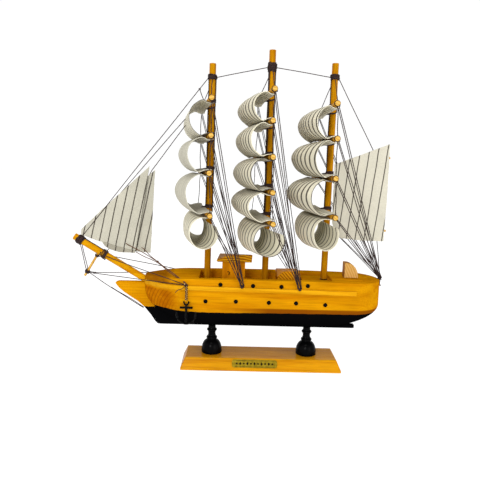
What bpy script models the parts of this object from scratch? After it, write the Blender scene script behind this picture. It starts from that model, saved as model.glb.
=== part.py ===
"""Model sailing ship on a stand: hull, deck fittings, three masts, square and fore-and-aft
sails, rigging threads and two hanging anchors.

Metres, +Z up.  The bow points to -X and port is -Y.  The origin is the middle of the
underside of the stand's base.
"""
import bpy
import bmesh
from math import sin, cos, pi, radians, sqrt, atan2
from mathutils import Vector, Matrix

MM = 0.001
GAP = 0.3 * MM                      # air left between pieces that touch

# stand
BASE_LENGTH, BASE_WIDTH = 162.6 * MM, 43.4 * MM
BASE_TOP_LENGTH, BASE_TOP_WIDTH = 153.3 * MM, 34.6 * MM
BASE_HEIGHT, BASE_LIP = 12.2 * MM, 2.0 * MM
PLATE_LENGTH, PLATE_WIDTH, PLATE_THICK = 45.7 * MM, 8.0 * MM, 0.5 * MM
PLATE_X = -6.5 * MM
POST_X = {"fore": -50.8 * MM, "aft": 47.6 * MM}
POST_TOP = 41.3 * MM
BELL_RADIUS, BELL_HEIGHT = 10.5 * MM, 13.6 * MM

# hull
DECK_Z, DECK_HOG = 95.7 * MM, 1.5 * MM
HALF_BEAM = 27.4 * MM
BOW_X, STERN_X = -118.9 * MM, 118.6 * MM
BOW_NOSE = 4.0 * MM                 # half width of the blunt bow
ENTRY_LENGTH, RUN_LENGTH = 44 * MM, 28 * MM
CHINE_Z, BOTTOM_Z = 67.5 * MM, 44.0 * MM
BOTTOM_HALF_WIDTH = 7.0 * MM
WELL_X = (-64 * MM, 40 * MM, 68 * MM)    # deep part from first to second, shallow to third
WELL_HALF_WIDTH = 20.5 * MM
WELL_FLOOR, WELL_STEP = 86.7 * MM, 92.1 * MM
KEEL_THICK, KEEL_BOTTOM, KEEL_HEEL_X = 5.0 * MM, 41.6 * MM, 96.2 * MM
BEAK_TOP = 85.8 * MM                                   # the heel of the bowsprit rests on the beak
WALE_HEIGHT, WALE_PROUD = 4.4 * MM, 1.3 * MM
WALE_Z, WALE_SLOPE = 85.7 * MM, -0.012
WALE_X = (-116.5 * MM, 90 * MM)

# masts: x at the foot, x at the top, z of the top, z of the foot
MAST_RADIUS = 3.2 * MM
MASTS = {
    "fore": (-56.8 * MM, -55.0 * MM, 301.2 * MM, WELL_FLOOR + GAP),
    "main": (2.1 * MM, 2.1 * MM, 315.3 * MM, WELL_FLOOR + GAP),
    "mizzen": (62.4 * MM, 63.0 * MM, 304.7 * MM, WELL_STEP + GAP),
}
# yards: height and x of the port end, from the top down
YARD_RADIUS, YARD_HALF = 2.25 * MM, 60 * MM
YARDS = {
    "fore": ((262.0, -52.6), (230.2, -52.6), (197.7, -53.6), (160.0, -52.3)),
    "main": ((271.0, 1.3), (244.4, 0.6), (213.2, 1.8), (182.2, 2.6), (154.2, 4.0)),
    "mizzen": ((260.3, 55.5), (230.5, 57.1), (196.0, 57.5), (161.3, 59.2)),
}
# how far each square sail stands forward of its yards, at the mast and at its sides
BULGES = {
    "fore": ((19.0, 18.5), (25.0, 19.0), (28.5, 20.0)),
    "main": ((25.6, 16.0), (26.2, 17.5), (28.2, 18.0), (28.8, 19.5)),
    "mizzen": ((26.4, 15.5), (32.0, 16.5), (34.6, 19.5)),
}
SAIL_HALF_WIDTH, CLOTH = 50 * MM, 0.7 * MM
SAIL_ROWS = 17
# the lowest sail of each mast is a loop: depth at the mast and at its sides, and how far
# its sides are swept aft of the mast's front
LOOPS = {"fore": (21.0, 25.5, 9.0), "main": (23.2, 28.6, 13.8), "mizzen": (26.0, 23.0, 6.0)}
LOOP_DROP, LOOP_HALF_WIDTH = 30.5 * MM, 47.5 * MM

# fore-and-aft spars
SPRIT_TIP, SPRIT_ROOT = Vector((-190.9, 0, 130.4)) * MM, Vector((-118.0, 0, 87.1)) * MM
SPRIT_RADIUS = 3.45 * MM
STRIKER_FOOT, STRIKER_RADIUS, STRIKER_LENGTH = Vector((-181.2, 0, 90.0)) * MM, 1.2 * MM, 26.0 * MM
GAFF = (Vector((67.6, 0, 204.0)) * MM, Vector((122.0, 0, 216.6)) * MM)
BOOM = (Vector((67.8, 0, 142.4)) * MM, Vector((122.6, 0, 143.9)) * MM)
SPAR_RADIUS = 1.1 * MM

# rigging
THREAD = 0.3 * MM
TOP_LASHING = {"fore": 288.3 * MM, "main": 299.3 * MM, "mizzen": 291.6 * MM}
CATHEAD = Vector((-75.0, 30.5, 89.2)) * MM          # pin that each anchor chain hangs from
FORE_PIN = Vector((-21.5, 29.6, 89.6)) * MM
MAIN_PIN = Vector((34.2, 30.3, 88.4)) * MM
STERN_PIN = Vector((120.2, 0, 94.6)) * MM
CHAIN_LENGTH, CHAIN_RADIUS = 14.0 * MM, 0.9 * MM
SIDES = {"port": -1, "starboard": 1}


# ---------------------------------------------------------------- helpers

def clear_scene():
    for item in list(bpy.data.objects):
        bpy.data.objects.remove(item, do_unlink=True)


def material(name, colour, roughness, metallic=0.0):
    mat = bpy.data.materials.new(name)
    mat.use_nodes = True
    shader = mat.node_tree.nodes["Principled BSDF"]
    shader.inputs["Base Color"].default_value = (*colour, 1)
    shader.inputs["Roughness"].default_value = roughness
    shader.inputs["Metallic"].default_value = metallic
    return mat


def add_object(name, bm, mat, smooth_angle=None, cutter=False):
    bmesh.ops.recalc_face_normals(bm, faces=bm.faces)
    mesh = bpy.data.meshes.new(name)
    bm.to_mesh(mesh)
    bm.free()
    if smooth_angle:
        mesh.shade_smooth()
        mesh.set_sharp_from_angle(angle=radians(smooth_angle))
    obj = bpy.data.objects.new(name, mesh)
    bpy.context.scene.collection.objects.link(obj)
    if mat:
        mesh.materials.append(mat)
    if cutter:
        obj.hide_render = True
        obj.display_type = "WIRE"
    return obj


def bevel(obj, width, segments=2, angle=30):
    mod = obj.modifiers.new("Bevel", "BEVEL")
    mod.width = width
    mod.segments = segments
    mod.limit_method = "ANGLE"
    mod.angle_limit = radians(angle)


def box_mesh(low, high):
    bm = bmesh.new()
    middle = (Vector(low) + Vector(high)) / 2
    size = Vector(high) - Vector(low)
    bmesh.ops.create_cube(bm, size=1, matrix=Matrix.Translation(middle) @ Matrix.Diagonal((*size, 1)))
    return bm


def hull_of(points):
    """A convex solid around the points."""
    bm = bmesh.new()
    for point in points:
        bm.verts.new(point)
    result = bmesh.ops.convex_hull(bm, input=bm.verts)
    loose = {v for v in result["geom_interior"] + result["geom_unused"] if isinstance(v, bmesh.types.BMVert)}
    bmesh.ops.delete(bm, geom=list(loose), context="VERTS")
    bmesh.ops.dissolve_limit(bm, angle_limit=radians(1), verts=bm.verts, edges=bm.edges)
    return bm


def plank(outline, low_y, high_y):
    """A flat board: an x-z outline given thickness along Y."""
    bm = bmesh.new()
    face = bm.faces.new([bm.verts.new((x, low_y, z)) for x, z in outline])
    made = bmesh.ops.extrude_face_region(bm, geom=[face])["geom"]
    moved = [v for v in made if isinstance(v, bmesh.types.BMVert)]
    bmesh.ops.translate(bm, verts=moved, vec=(0, high_y - low_y, 0))
    return bm


def loft(rings):
    """Join rings of equal length with quads and cap the first and last one."""
    bm = bmesh.new()
    rows = [[bm.verts.new(p) for p in ring] for ring in rings]
    count = len(rows[0])
    for row, after in zip(rows, rows[1:]):
        for i in range(count):
            j = (i + 1) % count
            bm.faces.new((row[i], row[j], after[j], after[i]))
    bm.faces.new(rows[0])
    bm.faces.new(list(reversed(rows[-1])))
    return bm


def turned(profile, steps):
    """Turn a (radius, z) profile round Z; each end is closed by a flat disc."""
    rings = [[(r * cos(2 * pi * i / steps), r * sin(2 * pi * i / steps), z) for i in range(steps)]
             for r, z in profile]
    return loft(rings)


def arc(cx, cz, rx, rz, start, end, count):
    """Points of an elliptical arc, angles in degrees."""
    angles = [radians(start + (end - start) * i / (count - 1)) for i in range(count)]
    return [(cx + rx * cos(a), cz + rz * sin(a)) for a in angles]


def rod(start, end, radius, steps=16, chamfer=0.25 * MM):
    """A dowel between two points with slightly eased ends."""
    length = (end - start).length
    profile = [(radius - chamfer, 0), (radius, chamfer), (radius, length - chamfer),
               (radius - chamfer, length)]
    bm = turned(profile, steps)
    turn = Vector((0, 0, 1)).rotation_difference(end - start).to_matrix().to_4x4()
    bmesh.ops.transform(bm, matrix=Matrix.Translation(start) @ turn, verts=bm.verts)
    return bm


def tube(points, radius, steps=4, closed=False):
    """A thread along points; a closed one is a ring."""
    count = len(points)
    rings = []
    side = None
    for i, point in enumerate(points):
        if closed:
            along = points[(i + 1) % count] - points[i - 1]
        else:
            along = points[min(i + 1, count - 1)] - points[max(i - 1, 0)]
        along.normalize()
        if side is None:
            guide = Vector((0, 1, 0)) if abs(along.y) < 0.8 else Vector((1, 0, 0))
            side = guide.cross(along).normalized()
        side = (side - along * side.dot(along)).normalized()
        other = along.cross(side)
        rings.append([point + radius * (cos(2 * pi * k / steps) * side + sin(2 * pi * k / steps) * other)
                      for k in range(steps)])
    if not closed:
        return loft(rings)
    bm = bmesh.new()
    rows = [[bm.verts.new(p) for p in ring] for ring in rings]
    for i in range(count):
        row, after = rows[i], rows[(i + 1) % count]
        for k in range(steps):
            m = (k + 1) % steps
            bm.faces.new((row[k], row[m], after[m], after[k]))
    return bm


def ring(centre, axis, radius, thread=THREAD * 1.25, count=10):
    """A closed loop of thread round a spar."""
    axis = axis.normalized()
    guide = Vector((0, 0, 1)) if abs(axis.z) < 0.8 else Vector((1, 0, 0))
    u = guide.cross(axis).normalized()
    v = axis.cross(u)
    points = [centre + radius * (cos(2 * pi * i / count) * u + sin(2 * pi * i / count) * v)
              for i in range(count)]
    return tube(points, thread, closed=True)


def knot(centre, radius=0.9 * MM):
    bm = bmesh.new()
    bmesh.ops.create_icosphere(bm, subdivisions=1, radius=radius, matrix=Matrix.Translation(centre))
    return bm


def united(name, shapes, mat, smooth_angle=None):
    """One body made of overlapping shapes."""
    body = add_object(name, shapes[0], mat, smooth_angle)
    others = bpy.data.collections.new(name + "_pieces")
    bpy.context.scene.collection.children.link(others)
    for i, shape in enumerate(shapes[1:]):
        piece = add_object(f"{name}_piece_{i}", shape, None, cutter=True)
        bpy.context.scene.collection.objects.unlink(piece)
        others.objects.link(piece)
    mod = body.modifiers.new("Union", "BOOLEAN")
    mod.operation = "UNION"
    mod.operand_type = "COLLECTION"
    mod.collection = others
    return body


def cut(obj, bm, name):
    cutter = add_object(name, bm, None, cutter=True)
    mod = obj.modifiers.new("Cut", "BOOLEAN")
    mod.operation = "DIFFERENCE"
    mod.object = cutter


def smooth_path(points, count):
    """Points spread along a Catmull-Rom curve through the given 2-D or 3-D points."""
    points = [Vector(p) for p in points]
    padded = [2 * points[0] - points[1], *points, 2 * points[-1] - points[-2]]
    result = []
    spans = len(points) - 1
    for i in range(count):
        place = spans * i / (count - 1)
        k = min(int(place), spans - 1)
        t = place - k
        a, b, c, d = padded[k:k + 4]
        result.append(0.5 * (2 * b + (c - a) * t + (2 * a - 5 * b + 4 * c - d) * t ** 2
                             + (3 * b - a - 3 * c + d) * t ** 3))
    return result


# ---------------------------------------------------------------- stand

def make_stand(wood, plate, black):
    half = [(BASE_LENGTH / 2, BASE_WIDTH / 2, 0), (BASE_LENGTH / 2, BASE_WIDTH / 2, BASE_LIP),
            (BASE_TOP_LENGTH / 2, BASE_TOP_WIDTH / 2, BASE_HEIGHT)]
    corners = ((-1, -1), (1, -1), (1, 1), (-1, 1))
    rings = [[(x * a, y * b, z) for a, b in corners] for x, y, z in half]
    base = add_object("stand_base", loft(rings), wood, smooth_angle=30)
    bevel(base, 0.7 * MM)

    # the plate lies on the sloping port face
    run = (BASE_WIDTH - BASE_TOP_WIDTH) / 2
    rise = BASE_HEIGHT - BASE_LIP
    slope = atan2(rise, run)
    plate_obj = add_object("nameplate", rounded_plate(), plate, smooth_angle=30)
    plate_obj.rotation_euler = (slope, 0, 0)
    out = Vector((0, -sin(slope), cos(slope))) * (GAP + PLATE_THICK / 2)
    middle_y = -(BASE_WIDTH + BASE_TOP_WIDTH) / 4
    middle_z = (BASE_LIP + BASE_HEIGHT) / 2 + 0.4 * MM
    plate_obj.location = Vector((PLATE_X, middle_y + 0.4 * MM * run / rise, middle_z)) + out

    for place, x in POST_X.items():
        post = add_object(f"stand_post_{place}", turned(post_profile(), 14), black, smooth_angle=50)
        post.location = (x, 0, 0)


def rounded_plate():
    """A flat plate with rounded corners, lying in its own x-y plane."""
    corner = 2.6 * MM
    x, y, t = PLATE_LENGTH / 2 - corner, PLATE_WIDTH / 2 - corner, PLATE_THICK / 2
    outline = []
    for cx, cy, start in ((x, y, 0), (-x, y, 90), (-x, -y, 180), (x, -y, 270)):
        outline += arc(cx, cy, corner, corner, start, start + 90, 5)
    return loft([[(a, b, -t) for a, b in outline], [(a, b, t) for a, b in outline]])


def post_profile():
    """Bell foot, two beads and a narrow neck, as (radius, z) from the bottom up."""
    foot = BASE_HEIGHT + GAP
    bell_top = foot + BELL_HEIGHT
    return ([(BELL_RADIUS - 0.3 * MM, foot), (BELL_RADIUS, foot + 0.6 * MM)]
            + arc(4.4 * MM, foot + 2.2 * MM, BELL_RADIUS - 4.4 * MM, BELL_HEIGHT - 2.2 * MM, 0, 76, 6)
            + arc(4.0 * MM, bell_top + 2.3 * MM, 1.6 * MM, 1.7 * MM, -60, 60, 3)
            + [(4.0 * MM, bell_top + 5.0 * MM), (3.8 * MM, bell_top + 7.0 * MM),
               (4.0 * MM, bell_top + 8.8 * MM)]
            + arc(3.8 * MM, bell_top + 10.8 * MM, 1.4 * MM, 1.5 * MM, -60, 60, 3)
            + [(3.8 * MM, bell_top + 13.0 * MM), (3.8 * MM, POST_TOP)])


# ---------------------------------------------------------------- hull

def deck_height(x):
    return DECK_Z - DECK_HOG * (x / STERN_X) ** 2


def stem_x(z):
    """Fore end of the hull at height z: upright at the top, swept aft below."""
    drop = max(0.0, (83 * MM - z) / (83 * MM - BOTTOM_Z))
    return BOW_X + 1.0 * MM * drop + 40 * MM * drop ** 2.6


def stern_x(z):
    """Aft end of the hull at height z: a rounded tuck under the counter."""
    drop = max(0.0, (70 * MM - z) / (70 * MM - BOTTOM_Z))
    return STERN_X + 1.0 * MM - 38 * MM * drop ** 2.0 - (z / DECK_Z) * 1.0 * MM


def half_beam(x, z):
    """Half width of the hull at x and z."""
    bow, stern = stem_x(z), stern_x(z)
    if x <= bow or x >= stern:
        return 0.0
    below = max(0.0, (CHINE_Z - z) / (CHINE_Z - BOTTOM_Z))
    hard = 0.05 + 0.22 * min(1.0, max(0.0, (x + 60 * MM) / (50 * MM)))
    bottom = BOTTOM_HALF_WIDTH / HALF_BEAM
    beam = HALF_BEAM * (1 - hard * below - (1 - bottom - hard) * below ** 3.2)
    width = beam
    entry = (x - bow) / ENTRY_LENGTH
    if entry < 1:
        nose = min(BOW_NOSE, beam)
        width = nose * (1 - entry) + beam * (1 - (1 - entry) ** 1.9)
        width = min(width, beam)
    run = (x - (stern - RUN_LENGTH)) / RUN_LENGTH
    if run > 0:
        width = min(width, beam * sqrt(max(0.0, 1 - run * run)))
    return width


def waterline(z, port_stations=26):
    """Outline of the hull at one height, from the bow round starboard and back."""
    bow, stern = stem_x(z), stern_x(z)
    side = []
    for i in range(port_stations):
        t = i / (port_stations - 1)
        # stations crowd towards both ends, where the outline turns fastest
        spread = (1 - cos(pi * t)) / 2
        x = bow + (stern - bow) * spread
        if i == 0:
            side.append((bow, min(BOW_NOSE, half_beam(bow + 0.01 * MM, z))))
        elif i == port_stations - 1:
            side.append((stern, 0.0))
        else:
            side.append((x, half_beam(x, z)))
    points = [(x, y) for x, y in side] + [(x, -y) for x, y in reversed(side[:-1])]
    return points


def make_hull(wood, pale):
    levels = [44.0, 44.6, 46.0, 48.5, 52.0, 56.0, 60.0, 64.0, 67.5, 71.0, 76.0, 83.0, 90.0]
    rings = [[(x, y, z * MM) for x, y in waterline(z * MM)] for z in levels]
    rings.append([(x, y, deck_height(x)) for x, y in waterline(DECK_Z)])
    hull = add_object("hull", loft(rings), wood, smooth_angle=35)
    top = DECK_Z + 5 * MM
    deep = box_mesh((WELL_X[0], -WELL_HALF_WIDTH, WELL_FLOOR), (WELL_X[1], WELL_HALF_WIDTH, top))
    shallow = box_mesh((WELL_X[1] - 1 * MM, -WELL_HALF_WIDTH, WELL_STEP), (WELL_X[2], WELL_HALF_WIDTH, top))
    cut(hull, deep, "well_cutter")
    cut(hull, shallow, "well_step_cutter")

    keel = add_object("keel_board", plank(keel_outline(), -KEEL_THICK / 2, KEEL_THICK / 2), wood, 30)
    bevel(keel, 0.5 * MM, 1)

    for side, sign in SIDES.items():
        add_object(f"wale_{side}", wale_mesh(sign), pale, smooth_angle=40)


def keel_outline():
    """The flat centre plank: beak, cutwater and the strip under the hull."""
    clear = GAP + 0.15 * MM
    front = [(-119.6, BEAK_TOP / MM), (-146.5, 85.6), (-149.6, 84.6), (-149.8, 83.4), (-146.0, 78.6),
             (-141.0, 74.4), (-134.5, 69.9), (-127.0, 65.2), (-120.3, 59.3), (-113.4, 50.8),
             (-109.4, 44.6), (-106.6, 41.9)]
    outline = [(x * MM, z * MM) for x, z in front]
    outline += [(-103 * MM, KEEL_BOTTOM), (KEEL_HEEL_X - 0.7 * MM, KEEL_BOTTOM),
                (KEEL_HEEL_X, KEEL_BOTTOM + 0.7 * MM), (KEEL_HEEL_X, 45.4 * MM)]
    for z in (46.6, 45.2, 44.2):
        outline.append((stern_x(z * MM) - 0.2 * MM, z * MM - clear))
    outline.append((72 * MM, BOTTOM_Z - clear))
    outline.append((stem_x(BOTTOM_Z) - 1 * MM, BOTTOM_Z - clear))
    for z in (46.0, 48.5, 52.0, 56.0, 60.0, 64.0, 70.0, 76.0):
        outline.append((stem_x(z * MM) - clear, z * MM))
    return outline


def wale_mesh(sign):
    """A flat batten bent along one side of the hull."""
    stations = 26
    rings = []
    for i in range(stations):
        x = WALE_X[0] + (WALE_X[1] - WALE_X[0]) * (i / (stations - 1)) ** 1.35
        z = WALE_Z + WALE_SLOPE * x
        ahead, behind = half_beam(x + 0.5 * MM, z), half_beam(x - 0.5 * MM, z)
        out = Vector((-(ahead - behind) / (1 * MM), 1, 0)).normalized()
        foot = Vector((x, half_beam(x, z), z))
        inner, outer = foot + out * (GAP + 0.1 * MM), foot + out * (GAP + 0.1 * MM + WALE_PROUD)
        up = Vector((0, 0, WALE_HEIGHT / 2))
        rings.append([inner - up, outer - up, outer + up, inner + up])
    return loft([[Vector((p.x, p.y * sign, p.z)) for p in corners] for corners in rings])


def make_deck_fittings(wood, end_grain):
    floor = WELL_FLOOR + GAP
    body = add_object("cabin_body", box_mesh(Vector((-41.4, -11, 0)) * MM + Vector((0, 0, floor)),
                                             Vector((-18.5, 11, 110.3)) * MM), wood)
    bevel(body, 0.3 * MM, 1)
    roof_points = [(-46.0, -15.5, 110.6), (-47.2, -15.5, 112.0), (-45.7, -15.5, 113.4),
                   (-33.5, -15.5, 117.6), (-11.7, -15.5, 118.3), (-12.2, -15.5, 110.6),
                   (-45.0, 15.5, 110.6), (-44.6, 15.5, 113.8), (-12.0, 15.5, 113.2), (-12.4, 15.5, 110.6)]
    roof = add_object("cabin_roof", hull_of([Vector(p) * MM for p in roof_points]), wood)
    bevel(roof, 0.25 * MM, 1, angle=12)

    hatch_points = [(14.2, -14, 87.0), (14.2, -14, 97.0), (19.8, -14, 102.2), (36.4, -14, 102.8),
                    (36.4, -14, 87.0), (14.2, 14, 87.0), (14.2, 14, 99.6), (36.4, 14, 99.8),
                    (36.4, 14, 87.0), (14.2, 6, 100.6)]
    hatch = add_object("hatch_block", hull_of([Vector(p) * MM for p in hatch_points]), wood)
    bevel(hatch, 0.25 * MM, 1, angle=12)

    foot = deck_height(95 * MM) + GAP + 0.35 * MM
    radius_x, radius_z = 14.3 * MM, 15.3 * MM
    outline = [(82.3 * MM, foot)]
    outline += arc(82.3 * MM + 2.4 * MM, foot, radius_x - 2.4 * MM, radius_z, 0, 90, 9)
    outline += [(82.3 * MM, foot + radius_z)]
    block = add_object("stern_block", plank(outline, -5.2 * MM, 5.2 * MM), end_grain, smooth_angle=30)
    bevel(block, 0.2 * MM, 1, angle=50)


# ---------------------------------------------------------------- masts and yards

def mast_x(mast, z):
    foot_x, top_x, top_z, foot_z = MASTS[mast]
    return foot_x + (top_x - foot_x) * (z - foot_z) / (top_z - foot_z)


def yard_centre(mast, index):
    z = YARDS[mast][index][0] * MM
    return Vector((mast_x(mast, z) - MAST_RADIUS - YARD_RADIUS - GAP * 1.4, 0, z))


def yard_x(mast, index, y):
    """x of a yard's axis at y: the yards are not quite square to the keel."""
    centre = yard_centre(mast, index).x
    port_end = YARDS[mast][index][1] * MM
    return centre + (port_end - centre) * (-y / YARD_HALF)


def make_spars(wood):
    for mast, (foot_x, top_x, top_z, foot_z) in MASTS.items():
        obj = rod(Vector((foot_x, 0, foot_z)), Vector((top_x, 0, top_z)), MAST_RADIUS, 20, 0.4 * MM)
        add_object(f"{mast}_mast", obj, wood, smooth_angle=40)
    for mast, yards in YARDS.items():
        for i, (height, port_x) in enumerate(yards):
            ends = [Vector((yard_x(mast, i, y), y, height * MM)) for y in (-YARD_HALF, YARD_HALF)]
            add_object(f"{mast}_yard_{i + 1}", rod(*ends, YARD_RADIUS, 12), wood, smooth_angle=40)

    # the bowsprit is sawn upright where it meets the bow and level where it rests on the beak
    sprit = rod(SPRIT_TIP, SPRIT_ROOT, SPRIT_RADIUS, 20, 0.4 * MM)
    face_x, heel_z = BOW_X - GAP - 0.2 * MM, BEAK_TOP + GAP + 0.05 * MM
    for spot, outward in (((face_x, 0, 0), (1, 0, 0)), ((0, 0, heel_z), (0, 0, -1))):
        everything = sprit.verts[:] + sprit.edges[:] + sprit.faces[:]
        sawn = bmesh.ops.bisect_plane(sprit, geom=everything, plane_co=spot, plane_no=outward,
                                      clear_outer=True)
        rim = [e for e in sawn["geom_cut"] if isinstance(e, bmesh.types.BMEdge)]
        bmesh.ops.holes_fill(sprit, edges=rim)
    add_object("bowsprit", sprit, wood, smooth_angle=40)

    striker_top = STRIKER_FOOT + striker_direction() * STRIKER_LENGTH
    add_object("dolphin_striker", rod(STRIKER_FOOT, striker_top, STRIKER_RADIUS, 12), wood, 40)
    add_object("gaff", rod(*GAFF, SPAR_RADIUS, 12, 0.15 * MM), wood, smooth_angle=40)
    add_object("boom", rod(*BOOM, SPAR_RADIUS, 12, 0.15 * MM), wood, smooth_angle=40)


def sprit_direction():
    return (SPRIT_ROOT - SPRIT_TIP).normalized()


def striker_direction():
    """Square to the bowsprit, pointing up at it."""
    along = sprit_direction()
    return Vector((-along.z, 0, along.x))


# ---------------------------------------------------------------- sails

def sheet_solid(rows):
    """Give a grid of points the thickness of cloth, evenly to both sides."""
    count_u, count_v = len(rows), len(rows[0])

    def normal(i, j):
        along = rows[min(i + 1, count_u - 1)][j] - rows[max(i - 1, 0)][j]
        across = rows[i][min(j + 1, count_v - 1)] - rows[i][max(j - 1, 0)]
        return along.cross(across).normalized() * (CLOTH / 2)

    bm = bmesh.new()
    faces = {}
    for sign in (1, -1):
        faces[sign] = [[bm.verts.new(rows[i][j] + sign * normal(i, j)) for j in range(count_v)]
                       for i in range(count_u)]
    for grid in faces.values():
        for i in range(count_u - 1):
            for j in range(count_v - 1):
                bm.faces.new((grid[i][j], grid[i + 1][j], grid[i + 1][j + 1], grid[i][j + 1]))
    rim = ([(i, 0) for i in range(count_u)] + [(count_u - 1, j) for j in range(1, count_v)]
           + [(i, count_v - 1) for i in range(count_u - 2, -1, -1)]
           + [(0, j) for j in range(count_v - 2, 0, -1)])
    for (i, j), (k, m) in zip(rim, rim[1:] + rim[:1]):
        bm.faces.new((faces[1][i][j], faces[1][k][m], faces[-1][k][m], faces[-1][i][j]))
    return bm


def sail_section(mast, index, side):
    """A square sail's C between two yards at one place across it, side from -1 to 1."""
    y = side * SAIL_HALF_WIDTH
    upper = Vector((yard_x(mast, index, y), YARDS[mast][index][0] * MM))
    lower = Vector((yard_x(mast, index + 1, y), YARDS[mast][index + 1][0] * MM))
    middle_bulge, edge_bulge = BULGES[mast][index]
    bulge = (middle_bulge + (edge_bulge - middle_bulge) * side ** 2) * MM
    clear = YARD_RADIUS + GAP + CLOTH / 2 + 0.05 * MM
    tail = (1.2 + 2.0 * side ** 2) * MM
    height = upper.y - lower.y
    front = min(upper.x, lower.x) - bulge
    points = [upper + Vector((tail, -clear)), upper + Vector((-0.10 * bulge, -clear * 0.98)),
              Vector((upper.x - 0.42 * bulge, upper.y - 0.04 * height)),
              Vector((front + 0.18 * bulge, upper.y - 0.20 * height)),
              Vector((front, upper.y - 0.47 * height)),
              Vector((front + 0.14 * bulge, lower.y + 0.23 * height)),
              Vector((lower.x - 0.50 * bulge, lower.y + 0.03 * height)),
              Vector((lower.x - 0.16 * bulge - 1.2 * MM, lower.y + clear * 0.72)),
              lower + Vector((0, clear)), lower + Vector((tail, clear))]
    return [Vector((p.x, y, p.y)) for p in smooth_path(points, SAIL_ROWS)]


def loop_section(mast, side):
    """The lowest sail hangs as a loop: pressed to the mast, its sides swept aft."""
    index = len(YARDS[mast]) - 1
    y = side * LOOP_HALF_WIDTH
    upper = Vector((yard_x(mast, index, y), YARDS[mast][index][0] * MM))
    clear = YARD_RADIUS + GAP + CLOTH / 2 + 0.05 * MM
    depth_middle, depth_side, sweep_aft = LOOPS[mast]
    depth = (depth_middle + (depth_side - depth_middle) * side ** 2) * MM
    mast_front = mast_x(mast, upper.y) - MAST_RADIUS - GAP - CLOTH
    skew = 0.8 * (upper.x - yard_centre(mast, index).x)
    aft = mast_front - 0.4 * MM + sweep_aft * MM * side ** 2 + skew
    centre = Vector((aft - depth / 2, upper.y - clear - LOOP_DROP / 2 + 1.2 * MM))
    rise = LOOP_DROP / 2 - 0.6 * MM * side ** 2
    tail = 0.6 * MM + max(0.0, min(2.0 * MM, (abs(y) - 8 * MM) / 10))
    points = [upper + Vector((tail, -clear)), upper + Vector((-1.8 * MM, -clear))]
    sweep = arc(centre.x, centre.y, depth / 2, rise, 105, 395 - 12 * side ** 2, 13)
    points += [Vector(p) for p in sweep if p[0] < upper.x - 4.5 * MM or p[1] < centre.y + 0.86 * rise]
    return [Vector((p.x, y, p.y)) for p in smooth_path(points, SAIL_ROWS)]


def make_square_sails(cloth):
    columns = [-1, -0.5, 0, 0.5, 1]
    for mast, yards in YARDS.items():
        for i in range(len(yards) - 1):
            sections = [sail_section(mast, i, side) for side in columns]
            rows = [list(row) for row in zip(*sections)]
            add_object(f"{mast}_sail_{i + 1}", sheet_solid(rows), cloth, smooth_angle=40)
        sections = [loop_section(mast, side) for side in columns]
        rows = [list(row) for row in zip(*sections)]
        add_object(f"{mast}_sail_{len(yards)}", sheet_solid(rows), cloth, smooth_angle=40)


def flat_sail(outline, y):
    """A fore-and-aft sail cut to an x-z outline, hanging in one plane."""
    return plank([(x * MM, z * MM) for x, z in outline], y * MM - CLOTH / 2, y * MM + CLOTH / 2)


OUTER_JIB = ((-115.4, 202.0), (-162.7, 157.9), (-183.2, 138.0), (-183.6, 132.4), (-169.0, 127.2),
             (-162.8, 125.4), (-160.4, 121.4), (-156.0, 118.6), (-146.0, 115.6), (-130.0, 115.2))
INNER_JIB = ((-110.3, 198.5), (-131.1, 180.3), (-152.4, 159.1), (-180.0, 134.2), (-165.0, 127.6),
             (-158.0, 122.5), (-152.0, 119.6), (-146.0, 117.0), (-114.8, 115.0))
SPANKER = ((66.9, 208.8), (120.4, 230.0), (120.5, 133.3), (77.5, 135.4), (67.3, 152.0))
JIB_Y = {"outer": -1.4, "inner": 1.2}
SPANKER_Y = -1.85


def make_fore_and_aft_sails(cloth):
    add_object("jib_outer", flat_sail(OUTER_JIB, JIB_Y["outer"]), cloth)
    add_object("jib_inner", flat_sail(INNER_JIB, JIB_Y["inner"]), cloth)
    add_object("spanker", flat_sail(SPANKER, SPANKER_Y), cloth)


# ---------------------------------------------------------------- anchors

def make_anchors(brass, black):
    for side, sign in SIDES.items():
        pin = Vector((CATHEAD.x, CATHEAD.y * sign, CATHEAD.z))
        links = 5
        pitch = (CHAIN_LENGTH - 0.6 * MM) / links
        profile = []
        for i in range(links * 2 + 1):
            z = -CHAIN_LENGTH + pitch * i / 2
            radius = CHAIN_RADIUS * (0.66 + 0.34 * (i % 2))
            profile.append((radius, z))
        chain = add_object(f"anchor_chain_{side}", turned(profile, 6), brass, smooth_angle=40)
        chain.location = pin
        anchor = united(f"anchor_{side}", anchor_shapes(), black, smooth_angle=40)
        anchor.location = pin - Vector((0, 0, CHAIN_LENGTH + 0.4 * MM))
        for piece in bpy.data.collections[f"anchor_{side}_pieces"].objects:
            piece.location = anchor.location


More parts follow.
